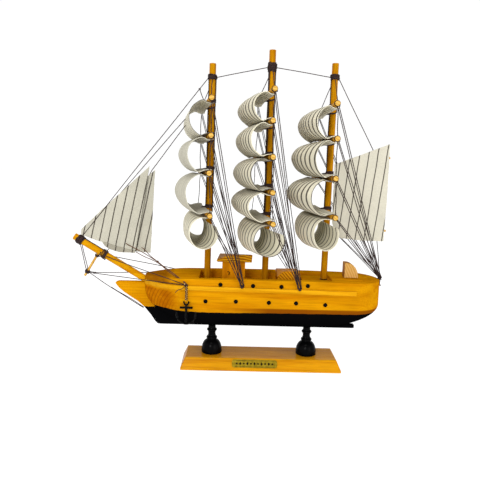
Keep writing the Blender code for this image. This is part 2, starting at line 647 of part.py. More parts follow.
def anchor_shapes():
    """Fork, shank, stock, curved arms and flukes, hanging below the origin."""
    fork_foot, stock, crown = (Vector((0, 0, z * MM)) for z in (-4.2, -7.2, -22.5))
    shapes = [rod(crown, fork_foot + Vector((0, 0, 0.5 * MM)), 1.0 * MM, 8, 0.1 * MM)]
    for sign in (-1, 1):
        horn = [fork_foot, fork_foot + Vector((sign * 2.0, 0, 1.6)) * MM,
                fork_foot + Vector((sign * 2.5, 0, 3.6)) * MM]
        shapes.append(tube(horn, 0.75 * MM, 6))
    shapes.append(rod(stock - Vector((5.6 * MM, 0, 0)), stock + Vector((5.6 * MM, 0, 0)), 0.95 * MM, 8))
    arms = [crown + Vector((x, 0, z - 0.4 * MM)) for x, z in
            arc(0, 10.4 * MM, 9.6 * MM, 10.4 * MM, 188, 352, 9)]
    shapes.append(tube(arms, 0.95 * MM, 6))
    for end, before in ((arms[0], arms[1]), (arms[-1], arms[-2])):
        tip_way = (end - before).normalized()
        fluke = [end + tip_way * 3.0 * MM]
        for dy in (-1.5, 1.5):
            fluke.append(end - tip_way * 2.2 * MM + Vector((0, dy * MM, 0)))
        inward = Vector((-1 if end.x > 0 else 1, 0, 0))
        fluke += [p + inward * 1.5 * MM - tip_way * 0.4 * MM for p in fluke]
        shapes.append(hull_of(fluke))
    return shapes


# ---------------------------------------------------------------- rigging

def ring_reach(spar_radius):
    """Radius of a lashing's centre line round a spar."""
    return spar_radius + GAP * 1.3 + THREAD * 1.25


def mast_ring(mast, z):
    return ring(Vector((mast_x(mast, z), 0, z)), Vector((0, 0, 1)), ring_reach(MAST_RADIUS))


def spar_ring(centre, axis, spar_radius):
    return ring(centre, axis, ring_reach(spar_radius))


def run(*points):
    return tube([Vector(p) for p in points], THREAD)


def topmast_stays():
    """Stays from the bowsprit's tip over all three mastheads to the gaff."""
    reach = ring_reach(MAST_RADIUS)
    tip = SPRIT_TIP + sprit_direction() * 7.0 * MM
    up = striker_direction() * ring_reach(SPRIT_RADIUS)
    shapes = [spar_ring(tip, sprit_direction(), SPRIT_RADIUS)]
    heads = {mast: Vector((mast_x(mast, z), 0, z)) for mast, z in TOP_LASHING.items()}
    shapes += [mast_ring(mast, z) for mast, z in TOP_LASHING.items()]
    fore, aft = Vector((-reach, 0, 0)), Vector((reach, 0, 0))
    shapes.append(run(tip + up, heads["fore"] + fore))
    shapes.append(run(heads["fore"] + aft, heads["main"] + fore))
    shapes.append(run(heads["main"] + aft, heads["mizzen"] + fore))
    gaff_end = GAFF[0] + (GAFF[1] - GAFF[0]) * 0.77 + Vector((0, 0, SPAR_RADIUS + GAP + THREAD * 1.4))
    shapes.append(run(heads["mizzen"] + aft, gaff_end))
    sail_front = sail_section("fore", 0, 0)[SAIL_ROWS // 2] - Vector((CLOTH / 2 + GAP + THREAD, 0, 0))
    shapes.append(run(tip + up, sail_front))
    return shapes


def bow_rigging():
    """Bobstay, striker guys, bowsprit guys, jib stay and jib sheets."""
    collar = SPRIT_TIP + sprit_direction() * 34.5 * MM
    reach = ring_reach(SPRIT_RADIUS)
    shapes = [spar_ring(collar, sprit_direction(), SPRIT_RADIUS)]
    striker = STRIKER_FOOT + striker_direction() * 5.2 * MM
    striker_reach = ring_reach(STRIKER_RADIUS)
    shapes.append(spar_ring(striker, striker_direction(), STRIKER_RADIUS))
    stem_point = Vector((-122.3, 0, 57.6)) * MM
    shapes.append(run(striker + Vector((striker_reach * 0.85, 0, -striker_reach * 0.5)), stem_point))
    for sign in (-1, 1):
        pin = Vector((CATHEAD.x - 0.6 * MM, CATHEAD.y * sign, CATHEAD.z + 2.4 * MM))
        shapes.append(knot(pin, 0.8 * MM))
        side_point = Vector((0, sign * reach, 0))
        shapes.append(run(collar + side_point, pin))
        shapes.append(run(striker + Vector((0, sign * striker_reach, 0)), pin))
    inner_foot = collar + striker_direction() * reach
    shapes.append(run(inner_foot, inner_foot + Vector((4.0, 2.6, 3.0)) * MM,
                      Vector((-113.6, 2.6, 197.2)) * MM, Vector((-86.5, 2.2, 237.0)) * MM))
    return shapes


def yard_gang(mast, sign, pin):
    """Braces from every yard end on one side to a pin, and the lines joining those ends."""
    reach = ring_reach(YARD_RADIUS)
    y = sign * (YARD_HALF - 2.6 * MM)
    ends = [Vector((yard_x(mast, i, y), y, height * MM)) for i, (height, port_x) in enumerate(YARDS[mast])]
    shapes = [ring(end, Vector((0, 1, 0)), reach) for end in ends]
    for upper, lower in zip(ends, ends[1:]):
        shapes.append(run(upper - Vector((0, 0, reach)), lower + Vector((0, 0, reach))))
    for end in ends:
        way = Vector((pin.x - end.x, 0, pin.z - end.z)).normalized()
        shapes.append(run(end + way * reach, pin))
    return shapes


def make_rigging(thread):
    united("topmast_stays", topmast_stays(), thread)
    united("bow_rigging", bow_rigging(), thread)
    for mast, pin in (("fore", FORE_PIN), ("main", MAIN_PIN)):
        for side, sign in SIDES.items():
            place = Vector((pin.x, pin.y * sign, pin.z))
            united(f"{mast}_rigging_{side}", [knot(place)] + yard_gang(mast, sign, place), thread)
    shapes = [knot(STERN_PIN, 1.1 * MM)]
    for sign in (-1, 1):
        shapes += yard_gang("mizzen", sign, STERN_PIN)
    hang = Vector((0, 0, -(SPAR_RADIUS + GAP + THREAD * 1.2)))
    for share in (0.83, 0.2):
        start = BOOM[0] + (BOOM[1] - BOOM[0]) * share + hang
        shapes.append(run(start, STERN_PIN))
    united("mizzen_rigging", shapes, thread)


def main():
    clear_scene()
    wood = material("golden_wood", (0.62, 0.30, 0.035), 0.35)
    pale = material("pale_wood", (0.72, 0.42, 0.06), 0.35)
    end_grain = material("end_grain", (0.70, 0.45, 0.20), 0.5)
    black = material("black_paint", (0.006, 0.006, 0.007), 0.18)
    plate = material("gold_plate", (0.62, 0.50, 0.05), 0.3, 0.6)
    brass = material("brass", (0.60, 0.42, 0.15), 0.3, 1.0)
    cloth = material("canvas", (0.62, 0.60, 0.50), 0.9)
    thread = material("thread", (0.035, 0.015, 0.015), 0.8)
    make_stand(wood, plate, black)
    make_hull(wood, pale)
    make_deck_fittings(wood, end_grain)
    make_spars(wood)
    make_square_sails(cloth)
    make_fore_and_aft_sails(cloth)
    make_anchors(brass, black)
    make_rigging(thread)


main()
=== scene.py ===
"""Looks for the model sailing ship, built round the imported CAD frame.

Metres, +Z up, the bow points to -X and port is -Y.  What mm() takes is in millimetres.
"""
import random
from math import sin, cos, pi, radians, sqrt, atan2
import bpy
import bmesh
from mathutils import Vector, Matrix, noise


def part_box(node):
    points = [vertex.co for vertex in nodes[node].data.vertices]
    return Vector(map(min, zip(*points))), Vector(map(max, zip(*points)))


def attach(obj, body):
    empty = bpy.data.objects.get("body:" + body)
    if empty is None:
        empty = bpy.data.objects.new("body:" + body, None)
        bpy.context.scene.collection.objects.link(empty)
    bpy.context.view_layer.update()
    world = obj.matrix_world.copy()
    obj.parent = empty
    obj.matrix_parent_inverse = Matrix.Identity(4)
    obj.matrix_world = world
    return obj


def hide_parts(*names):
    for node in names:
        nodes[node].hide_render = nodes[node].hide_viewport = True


MM = 0.001
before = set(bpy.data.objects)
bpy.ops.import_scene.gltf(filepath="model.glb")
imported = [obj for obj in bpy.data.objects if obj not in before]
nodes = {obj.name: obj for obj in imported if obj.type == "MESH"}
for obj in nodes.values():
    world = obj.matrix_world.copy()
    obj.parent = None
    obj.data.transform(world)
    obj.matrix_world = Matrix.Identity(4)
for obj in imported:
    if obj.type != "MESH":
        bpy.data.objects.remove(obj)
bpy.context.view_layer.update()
dice = random.Random(7)


def mm(*numbers):
    """A point or a step given in millimetres."""
    return Vector(numbers) * MM


def in_mm(pairs):
    return [(a * MM, b * MM) for a, b in pairs]


def mirrored(vector, sign):
    """The same on the other side of the ship when sign is -1."""
    return Vector((vector.x, vector.y * sign, vector.z))


def show(thing):
    bpy.context.scene.collection.objects.link(thing)
    return thing


def finished(bm, name):
    mesh = bpy.data.meshes.new(name)
    bm.to_mesh(mesh)
    bm.free()
    return mesh


# ---------------------------------------------------------------- camera, light, floor

def make_camera():
    yaw, pitch, roll = radians(0.86), radians(8.48), radians(1.60)
    ahead = Vector((sin(yaw) * cos(pitch), cos(yaw) * cos(pitch), -sin(pitch)))
    level = Vector((cos(yaw), -sin(yaw), 0))
    upward = level.cross(ahead)
    right = cos(roll) * level + sin(roll) * upward
    top = cos(roll) * upward - sin(roll) * level
    data = bpy.data.cameras.new("camera")
    data.sensor_width = 36
    data.lens = 36 * 500 / 480
    data.clip_start = 0.01
    camera = show(bpy.data.objects.new("camera", data))
    turn = Matrix((right, top, -ahead)).transposed().to_4x4()
    camera.matrix_world = Matrix.Translation((-0.0318, -0.5, 0.2052)) @ turn
    bpy.context.scene.camera = camera


def area_light(name, place, aim, size, power):
    data = bpy.data.lights.new(name, "AREA")
    data.shape = "DISK"
    data.size = size
    data.energy = power
    light = show(bpy.data.objects.new(name, data))
    light.location = place
    light.rotation_euler = (Vector(aim) - Vector(place)).to_track_quat("-Z", "Y").to_euler()


def make_studio():
    world = bpy.data.worlds.new("studio")
    bpy.context.scene.world = world
    world.use_nodes = True
    tree = world.node_tree
    background = tree.nodes["Background"]
    coords = tree.nodes.new("ShaderNodeTexCoord")
    split = tree.nodes.new("ShaderNodeSeparateXYZ")
    ramp = tree.nodes.new("ShaderNodeValToRGB")
    below, above = ramp.color_ramp.elements
    below.position, below.color = 0.36, (1, 1, 1, 1)
    above.position, above.color = 0.52, (0.52, 0.52, 0.52, 1)
    tree.links.new(coords.outputs["Generated"], split.inputs[0])
    tree.links.new(split.outputs["Z"], ramp.inputs[0])
    tree.links.new(ramp.outputs[0], background.inputs["Color"])
    background.inputs["Strength"].default_value = 1.02

    area_light("key", (-0.45, -1.60, 0.75), (0, 0, 0.16), 0.40, 10.0)
    area_light("fill", (1.0, -1.25, 0.40), (0, 0, 0.15), 0.9, 4.5)
    area_light("top", (-0.15, -0.70, 1.50), (0, 0, 0.10), 0.6, 7.0)

    bm = bmesh.new()
    bmesh.ops.create_circle(bm, cap_ends=True, segments=96, radius=9)
    mesh = finished(bm, "floor")
    paint, n = new_material("floor_white")
    n.look(Base_Color=(0.26, 0.26, 0.26, 1), Roughness=0.9, Specular_IOR_Level=0.0,
           Emission_Color=(1, 1, 1, 1), Emission_Strength=0.93)
    mesh.materials.append(paint)
    show(bpy.data.objects.new("floor", mesh))
    bpy.context.scene.view_settings.view_transform = "Standard"


# ---------------------------------------------------------------- materials

def new_material(name):
    mat = bpy.data.materials.new(name)
    mat.use_nodes = True
    return mat, Nodes(mat)


class Nodes:
    """Short hand for building a material's node tree."""

    def __init__(self, mat):
        self.tree = mat.node_tree
        self.shader = self.tree.nodes["Principled BSDF"]

    def add(self, kind, **values):
        node = self.tree.nodes.new("ShaderNode" + kind)
        for key, value in values.items():
            if hasattr(node, key):
                setattr(node, key, value)
            else:
                self.plug(value, node.inputs[key.replace("_", " ")])
        return node

    def plug(self, source, socket):
        if isinstance(source, (int, float, tuple)):
            socket.default_value = source
        else:
            self.tree.links.new(source, socket)

    def look(self, **values):
        """Sets or links inputs of the shader."""
        for key, value in values.items():
            self.plug(value, self.shader.inputs[key.replace("_", " ")])

    def now(self, name):
        """What is linked to an input of the shader already."""
        return self.shader.inputs[name].links[0].from_socket

    def place(self, scale=(1, 1, 1), offset=(0, 0, 0)):
        coords = self.add("TexCoord").outputs["Object"]
        return self.add("Mapping", Vector=coords, Scale=scale, Location=offset).outputs["Vector"]

    def noise(self, vector, scale, detail=3.0, rough=0.5, distort=0.0):
        return self.add("TexNoise", Vector=vector, Scale=scale, Detail=detail, Roughness=rough,
                        Distortion=distort).outputs["Fac"]

    def ramp(self, source, *stops):
        node = self.add("ValToRGB")
        self.plug(source, node.inputs["Fac"])
        elements = node.color_ramp.elements
        while len(elements) < len(stops):
            elements.new(0.5)
        for element, (place, colour) in zip(elements, stops):
            element.position = place
            element.color = (*(colour if isinstance(colour, tuple) else (colour,) * 3), 1)
        return node.outputs["Color"]

    def mix(self, factor, a, b, blend="MIX"):
        node = self.add("MixRGB", blend_type=blend, Fac=factor)
        for value, socket in ((a, node.inputs["Color1"]), (b, node.inputs["Color2"])):
            self.plug((*value, 1) if isinstance(value, tuple) and len(value) == 3 else value, socket)
        return node.outputs["Color"]

    def math(self, operation, a, b=0.0):
        node = self.add("Math", operation=operation)
        self.plug(a, node.inputs[0])
        self.plug(b, node.inputs[1])
        return node.outputs[0]

    def times(self, a, b):
        return self.math("MULTIPLY", a, b)

    def plus(self, a, b):
        return self.math("ADD", a, b)

    def minus(self, a, b):
        return self.math("SUBTRACT", a, b)

    def range(self, source, low, high, to_low=0.0, to_high=1.0):
        node = self.add("MapRange")
        self.plug(source, node.inputs["Value"])
        for i, value in enumerate((low, high, to_low, to_high), start=1):
            node.inputs[i].default_value = value
        return node.outputs["Result"]

    def axis(self, vector, name):
        split = self.add("SeparateXYZ")
        self.plug(vector, split.inputs[0])
        return split.outputs[name]

    def bump(self, height, strength, depth):
        node = self.add("Bump", Strength=strength, Distance=depth, Height=height)
        self.look(Normal=node.outputs["Normal"])


def wood(name, light, dark, axis, gloss=0.4, end=None, figure=1.0, offset=(0, 0, 0), coat=0.0):
    """Stained wood with its grain along one axis: figure, fine pores, stain blotches, end grain."""
    mat, n = new_material(name)

    def scales(along, across=1):
        return tuple(along if way == axis else across for way in "XYZ")

    bands = n.noise(n.place(scales(0.07), offset), 190 * figure, 3, 0.55, 0.5)
    pores = n.noise(n.place(scales(0.02), offset), 2600, 3, 0.6)
    blotch = n.noise(n.place(offset=offset), 30, 2, 0.5)
    middle = tuple((a + b) / 2 for a, b in zip(light, dark))
    colour = n.ramp(bands, (0.30, dark), (0.47, middle), (0.62, light))
    colour = n.mix(1.0, colour, n.ramp(pores, (0.30, 0.75), (0.56, 1.0)), "MULTIPLY")
    colour = n.mix(1.0, colour, n.ramp(blotch, (0.25, 0.86), (0.75, 1.06)), "MULTIPLY")
    if end:
        facing = n.axis(n.add("TexCoord").outputs["Normal"], axis)
        mask = n.range(n.math("ABSOLUTE", facing), 0.75, 0.9)
        flat = n.add("VectorMath", operation="MULTIPLY")
        n.plug(n.place(offset=(0.031, 0.023, -0.047)), flat.inputs[0])
        n.plug(scales(0), flat.inputs[1])
        rings = n.add("TexWave", wave_type="RINGS", rings_direction="SPHERICAL", Vector=flat.outputs[0],
                      Scale=130, Distortion=2.2, Detail=2, Detail_Scale=1.5)
        colour = n.mix(mask, colour, n.ramp(rings.outputs["Fac"], (0.2, end[1]), (0.75, end[0])))
    n.look(Base_Color=colour, Roughness=n.range(pores, 0.3, 0.7, gloss + 0.16, gloss - 0.04),
           Specular_IOR_Level=0.05, Specular_Tint=(1.0, 0.52, 0.10, 1), Coat_Weight=coat, Coat_Roughness=0.12)
    n.bump(n.plus(n.times(pores, 0.6), n.times(bands, 0.4)), 0.25, 0.00025)
    return mat


AMBER = (0.66, 0.285, 0.002), (0.50, 0.175, 0.001)
END_GRAIN = (0.62, 0.36, 0.08), (0.44, 0.22, 0.03)
BLACK_PAINT = (0.0022, 0.0022, 0.0026)


def place_and_wobble(n):
    """The x and z of a point, and a slow waver for the edge of the paint."""
    where = n.add("TexCoord").outputs["Object"]
    noisy = n.noise(n.place((0.35, 1, 1)), 260, 3)
    return n.axis(where, "X"), n.axis(where, "Z"), n.times(n.minus(noisy, 0.5), 0.0012)


def painted_hull(name):
    """Varnished wood above the paint line and gloss black paint below it."""
    mat = wood(name, *AMBER, "X", gloss=0.30, figure=0.8)
    n = Nodes(mat)
    x, z, wobble = place_and_wobble(n)
    # the paint's upper edge: low at the stem, level along the side
    edge = n.add("FloatCurve")
    n.plug(n.range(x, -0.125, 0.125), edge.inputs["Value"])
    line = edge.mapping.curves[0]
    heights = {-125: 59.0, -119: 59.6, -112: 62.0, -100: 63.2, -85: 62.9, -40: 62.1, 40: 62.8,
               95: 63.2, 125: 63.9}
    for i, (at, height) in enumerate(heights.items()):
        spot = ((at + 125) / 250, (height - 55) / 12)
        if i < 2:
            line.points[i].location = spot
        else:
            line.points.new(*spot)
    edge.mapping.update()
    level = n.range(edge.outputs["Value"], 0, 1, 0.055, 0.067)
    paint = n.range(n.minus(n.plus(z, wobble), level), 0.00012, -0.00012)
    # painted shade: the tuck under the chine faces down, so a redder, darker brown is painted there to stand
    # for its shade
    tuck_shade = n.times(n.range(z, 0.0682, 0.0668), n.range(x, -0.045, 0.005))
    colour = n.mix(n.times(tuck_shade, 0.85), n.now("Base Color"), (0.17, 0.033, 0.001))
    # the bow is cut across the grain: a redder face with curved grain lines, and a stain under the rail
    bow = n.times(n.range(x, -0.084, -0.094), n.range(z, 0.0835, 0.0815))
    colour = n.mix(bow, colour, (0.74, 0.56, 0.6), "MULTIPLY")
    ahead, up = (n.math("POWER", n.math("ABSOLUTE", part), 2)
                 for part in (n.plus(x, 0.062), n.minus(z, 0.055)))
    away = n.plus(n.math("SQRT", n.plus(ahead, up)), n.times(n.noise(n.place(), 70, 2), 0.003))
    rings = n.range(n.math("SINE", n.times(away, 2 * pi / 0.0033)), 0.45, 0.95)
    colour = n.mix(n.times(n.times(rings, bow), 0.6), colour, (0.20, 0.05, 0.001))
    stain = n.times(n.range(z, 0.0872, 0.0892), n.range(x, -0.090, -0.098))
    colour = n.mix(n.times(stain, 0.7), colour, (0.17, 0.045, 0.002))
    gloss = n.range(n.noise(n.place(), 90, 3), 0.3, 0.7, 0.20, 0.30)
    n.look(Base_Color=n.mix(paint, colour, BLACK_PAINT), Roughness=n.mix(paint, n.now("Roughness"), gloss),
           Specular_IOR_Level=0.0)
    return mat


def painted_keel(name):
    """The hull's wood and paint, with a straight edge between them."""
    mat = wood(name, *AMBER, "X", gloss=0.32, figure=0.9, offset=(0.5, 0.5, 0.1))
    n = Nodes(mat)
    z = n.axis(n.add("TexCoord").outputs["Object"], "Z")
    wobble = n.times(n.minus(n.noise(n.place(), 260, 3), 0.5), 0.0012)
    paint = n.range(n.plus(z, wobble), 0.0601, 0.0598)
    n.look(Base_Color=n.mix(paint, n.now("Base Color"), BLACK_PAINT), Specular_IOR_Level=0.0)
    return mat


def gloss_black(name):
    mat, n = new_material(name)
    tone = n.ramp(n.noise(n.place(), 160, 3), (0.3, (0.0012, 0.0012, 0.0014)),
                  (0.7, (0.0028, 0.0026, 0.0028)))
    n.look(Base_Color=tone, Roughness=n.range(n.noise(n.place(), 300, 4), 0.3, 0.7, 0.16, 0.28),
           Specular_IOR_Level=0.03)
    n.bump(n.noise(n.place(), 420, 2), 0.12, 0.0002)
    return mat


def metal(name, light, dark, rough, scale=600):
    mat, n = new_material(name)
    spots = n.noise(n.place(), scale, 4, 0.6)
    n.look(Base_Color=n.ramp(spots, (0.35, dark), (0.65, light)), Metallic=1.0,
           Roughness=n.range(spots, 0.3, 0.7, rough + 0.15, rough))
    n.bump(spots, 0.2, 0.0001)
    return mat


def thread_material(name, light, dark):
    """Twisted thread: the ply shows as slanting ridges along the piece's own u, v."""
    mat, n = new_material(name)
    uv = n.add("UVMap", uv_map="thread").outputs["UV"]
    u, v = n.axis(uv, "X"), n.axis(uv, "Y")
    turn = n.math("SINE", n.times(n.plus(n.times(u, 2), n.times(v, 2.2)), 2 * pi))
    tone = n.plus(n.times(turn, 0.3), n.noise(n.place(), 2500, 3, 0.7))
    n.look(Base_Color=n.ramp(tone, (0.25, dark), (0.85, light)), Roughness=0.75, Specular_IOR_Level=0.15)
    n.bump(tone, 0.5, 0.00012)
    return mat


def canvas(name, pitch, stripe_width, slant=0.0, tint=(0.60, 0.57, 0.465), strength=0.92):
    """Cream cotton with woven stripes, their pitch and width in millimetres.

    The sail's own u, v are metres across and along it.
    """
    mat, n = new_material(name)
    pitch, stripe_width = pitch * MM, stripe_width * MM
    uv = n.add("UVMap", uv_map="cloth").outputs["UV"]
    u, v = n.axis(uv, "X"), n.axis(uv, "Y")
    u = n.plus(u, n.times(v, slant))
    wander = n.times(n.minus(n.noise(n.place(), 60, 2), 0.5), 0.0006)
    # distance to the nearest stripe's middle
    cell = n.math("DIVIDE", n.plus(u, wander), pitch)
    off = n.math("ABSOLUTE", n.minus(n.minus(cell, n.math("FLOOR", cell)), 0.5))
    stripe = n.range(n.times(off, pitch), stripe_width * 0.5, stripe_width * 0.36)
    # plain weave: threads about 0.45 mm apart both ways
    warp, weft = (n.math("SINE", n.times(way, 2 * pi / 0.00045)) for way in (u, v))
    weave = n.times(warp, weft)
    slub = n.noise(n.place(), 900, 3, 0.7)
    shade = tuple(c * 0.86 for c in tint)
    cloth = n.ramp(n.plus(n.times(weave, 0.12), slub), (0.3, shade), (0.7, tint))
    blotch = n.ramp(n.noise(n.place(), 45, 2), (0.3, 0.93), (0.7, 1.03))
    cloth = n.mix(1.0, cloth, blotch, "MULTIPLY")
    dark = n.ramp(slub, (0.35, (0.022, 0.016, 0.012)), (0.7, (0.055, 0.042, 0.032)))
    n.look(Base_Color=n.mix(n.times(stripe, strength), cloth, dark), Roughness=0.92, Specular_IOR_Level=0.25,
           Sheen_Weight=0.05, Sheen_Roughness=0.5)
    n.bump(n.plus(n.times(weave, 0.35), slub), 0.15, 0.00012)
    return mat


# ---------------------------------------------------------------- mesh building

THREAD = 0.40 * MM              # radius of the black thread
FIBRE = 0.055 * MM              # and of a loose cotton fibre
PLY_PITCH = 1.7 * MM


class Piece:
    """Collects faces for one object, with a u, v for each corner."""

    def __init__(self, uv_name="thread"):
        self.points, self.faces, self.uvs, self.slots = [], [], [], []
        self.uv_name = uv_name

    def face(self, corners, uv, slot=0):
        self.faces.append(corners)
        self.uvs.append(uv)
        self.slots.append(slot)

    def grid(self, rows, uv_rows, slot=0, wrap=False, caps=False):
        base, width = len(self.points), len(rows[0])
        for row in rows:
            self.points += [tuple(p) for p in row]
        for i in range(len(rows) - 1):
            for j in range(width if wrap else width - 1):
                k = (j + 1) % width
                corners = ((i, j), (i, k), (i + 1, k), (i + 1, j))
                round_once = j == width - 1
                uv = [(uv_rows[a][b][0] + (1 if round_once and b == 0 else 0), uv_rows[a][b][1])
                      for a, b in corners]
                self.face([base + a * width + b for a, b in corners], uv, slot)
        if caps:
            ring = list(range(base, base + width))
            self.face(ring[::-1], [(0, 0)] * width, slot)
            self.face([k + (len(rows) - 1) * width for k in ring], [(0, 0)] * width, slot)

    def make(self, name, body, materials, slot, replaces=(), smooth=True, angle=None):
        mesh = bpy.data.meshes.new(name)
        mesh.from_pydata(self.points, [], self.faces)
        corner_uvs = [c for uv in self.uvs for pair in uv for c in pair]
        mesh.uv_layers.new(name=self.uv_name).data.foreach_set("uv", corner_uvs)
        mesh.polygons.foreach_set("material_index", self.slots)
        for mat in materials:
            mesh.materials.append(mat)
        bm = bmesh.new()
        bm.from_mesh(mesh)
        bmesh.ops.recalc_face_normals(bm, faces=bm.faces)
        bm.to_mesh(mesh)
        bm.free()
        if smooth:
            mesh.shade_smooth()
            if angle:
                mesh.set_sharp_from_angle(angle=radians(angle))
        return place(name, mesh, body, slot, replaces)


def place(name, mesh, body, slot, replaces=()):
    obj = show(bpy.data.objects.new(name, mesh))
    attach(obj, body)
    if replaces:
        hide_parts(*replaces)
    return obj


def frames(points):
    """Side and other directions at each point of a path."""
    result, side = [], None
    for before, after in zip(points[:1] + points, points[1:] + points[-1:]):
        along = (after - before).normalized()
        if side is None:
            guide = Vector((0, 1, 0)) if abs(along.y) < 0.8 else Vector((1, 0, 0))
            side = guide.cross(along).normalized()
        side = (side - along * side.dot(along)).normalized()
        result.append((side, along.cross(side)))
    return result


def square_to(axis):
    """The unit axis and two directions square to it."""
    axis = Vector(axis).normalized()
    guide = Vector((0, 0, 1)) if abs(axis.z) < 0.8 else Vector((1, 0, 0))
    u = guide.cross(axis).normalized()
    return axis, u, axis.cross(u)


def ring(u, v, steps):
    """Unit steps round a circle."""
    return [cos(2 * pi * k / steps) * u + sin(2 * pi * k / steps) * v for k in range(steps)]


def tube(piece, points, radius, sides=6, slot=0, lobes=0.0, taper=0.0):
    """A thread along a path; lobes above 0 make it a two-ply twist."""
    length, rows, uvs = 0.0, [], []
    for i, (point, (side, other)) in enumerate(zip(points, frames(points))):
        if i:
            length += (point - points[i - 1]).length
        turn = 2 * pi * length / PLY_PITCH
        size = radius * (1 - taper * i / (len(points) - 1))
        rows.append([point + size * (1 + lobes * cos(4 * pi * k / sides - turn)) * way
                     for k, way in enumerate(ring(side, other, sides))])
        uvs.append([(k / sides, length / MM) for k in range(sides)])
    piece.grid(rows, uvs, slot, wrap=True, caps=True)


def smooth_path(points, count):
    points = [Vector(p) for p in points]
    padded = [2 * points[0] - points[1], *points, 2 * points[-1] - points[-2]]
    result, spans = [], len(points) - 1
    for i in range(count):
        where = spans * i / (count - 1)
        k = min(int(where), spans - 1)
        t = where - k
        a, b, c, d = padded[k:k + 4]
        result.append(0.5 * (2 * b + (c - a) * t + (2 * a - 5 * b + 4 * c - d) * t ** 2
                             + (3 * b - a - 3 * c + d) * t ** 3))
    return result


def thread(piece, *points, radius=THREAD, wave=0.12, slot=0):
    """A thread from point to point: nearly straight, with a waver of so many millimetres, twisted ply."""
    for start, end in zip(points, points[1:]):
        span = (end - start).length
        count = max(3, int(span / (0.75 * MM)))
        phase = dice.random() * 9
        path = []
        for i in range(count + 1):
            t = i / count
            hump = 4 * t * (1 - t)
            drift = Vector((sin(phase + t * 5.1), sin(phase * 1.7 + t * 4.3), cos(phase + t * 3.7)))
            path.append(start.lerp(end, t) + drift * wave * MM * hump)
        tube(piece, path, radius, 5, slot, 0.24)


def winding(piece, centre, axis, radius, turns, width, thread_radius=THREAD * 1.1, loose=0.12):
    """Turns of thread laid round a spar."""
    axis, u, v = square_to(axis)
    count = max(8, int(turns * 22))
    start = dice.random() * 6
    path = []
    for i in range(count + 1):
        t = i / count
        a = start + 2 * pi * turns * t
        r = radius + thread_radius + abs(sin(a * 0.37 + start)) * thread_radius * loose * 4
        slide = (t - 0.5) * width + sin(a * 1.3) * thread_radius * 0.5
        path.append(centre + axis * slide + r * (cos(a) * u + sin(a) * v))
    tube(piece, path, thread_radius, 6, 0, 0.15)


def knot(piece, centre, size=0.9, slot=0):
    """A small overhand knot, its size in millimetres."""
    path, turn = [], dice.random() * 6
    for i in range(26):
        t = 2 * pi * i / 25 + turn
        bend = mm(sin(t) + 2 * sin(2 * t), cos(t) - 2 * cos(2 * t), -sin(3 * t) * 1.4)
        path.append(centre + bend * size * 0.30)
    tube(piece, path, THREAD * 1.1, 5, slot, 0.15)


def turned(piece, profile, centre, axis, steps):
    """A lathe-turned solid from (radius, height) pairs."""
    axis, u, v = square_to(axis)
    rows = [[Vector(centre) + axis * height + radius * way for way in ring(u, v, steps)]
            for radius, height in profile]
    uvs = [[(k / steps, height / MM) for k in range(steps)] for radius, height in profile]
    piece.grid(rows, uvs, wrap=True, caps=True)


def arc(cx, cz, rx, rz, start, end, count):
    angles = [radians(start + (end - start) * i / (count - 1)) for i in range(count)]
    return [(cx + rx * cos(a), cz + rz * sin(a)) for a in angles]


# ---------------------------------------------------------------- what the frame says

def spar(node, ends="Y"):
    """Radius and the two end centres of a straight spar, from its box."""
    low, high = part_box(node)
    if ends == "Y":     # a yard may be skewed either way: its mesh says which end is which
        radius, height = (high.z - low.z) / 2, (low.z + high.z) / 2
        at_port = [v.co.x for v in nodes[node].data.vertices if v.co.y < low.y + 1 * MM]
        port_x = sum(at_port) / len(at_port)
        return radius, Vector((port_x, low.y, height)), Vector((low.x + high.x - port_x, high.y, height))
    radius = (high.y - low.y) / 2
    return radius, Vector((low.x + radius, 0, low.z)), Vector((high.x - radius, 0, high.z))


MASTS = {mast: spar(f"{mast}_mast", "Z") for mast in ("fore", "main", "mizzen")}
YARD_COUNT = {"fore": 4, "main": 5, "mizzen": 4}
YARDS = {mast: [spar(f"{mast}_yard_{i + 1}") for i in range(count)] for mast, count in YARD_COUNT.items()}
SIDES = {"port": -1, "starboard": 1}
GAP = 0.3 * MM


def mast_point(mast, z):
    radius, foot, top = MASTS[mast]
    return foot.lerp(top, (z - foot.z) / (top.z - foot.z))


def yard_point(mast, index, y):
    radius, port, starboard = YARDS[mast][index]
    return port.lerp(starboard, (y - port.y) / (starboard.y - port.y))


def top_centre(node):
    low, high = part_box(node)
    return Vector(((low.x + high.x) / 2, (low.y + high.y) / 2, high.z))


PIN = {side: top_centre(f"anchor_chain_{side}") + mm(0, 0, 0.5) for side in SIDES}


# ---------------------------------------------------------------- hull

hull_low, hull_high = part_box("hull")
DECK_Z, DECK_HOG, HALF_BEAM = hull_high.z, 1.5 * MM, hull_high.y
BOW_X, STERN_X, BOTTOM_Z = hull_low.x, hull_high.x, hull_low.z
CHINE_Z = 67.5 * MM


def deck_height(x):
    return DECK_Z - DECK_HOG * (x / STERN_X) ** 2


def stem_x(z):
    drop = max(0.0, (83 * MM - z) / (83 * MM - BOTTOM_Z))
    return BOW_X + 1.0 * MM * drop + 40 * MM * drop ** 2.6


def stern_x(z):
    drop = max(0.0, (70 * MM - z) / (70 * MM - BOTTOM_Z))
    return STERN_X + 1.0 * MM - 38 * MM * drop ** 2.0 - (z / DECK_Z) * 1.0 * MM


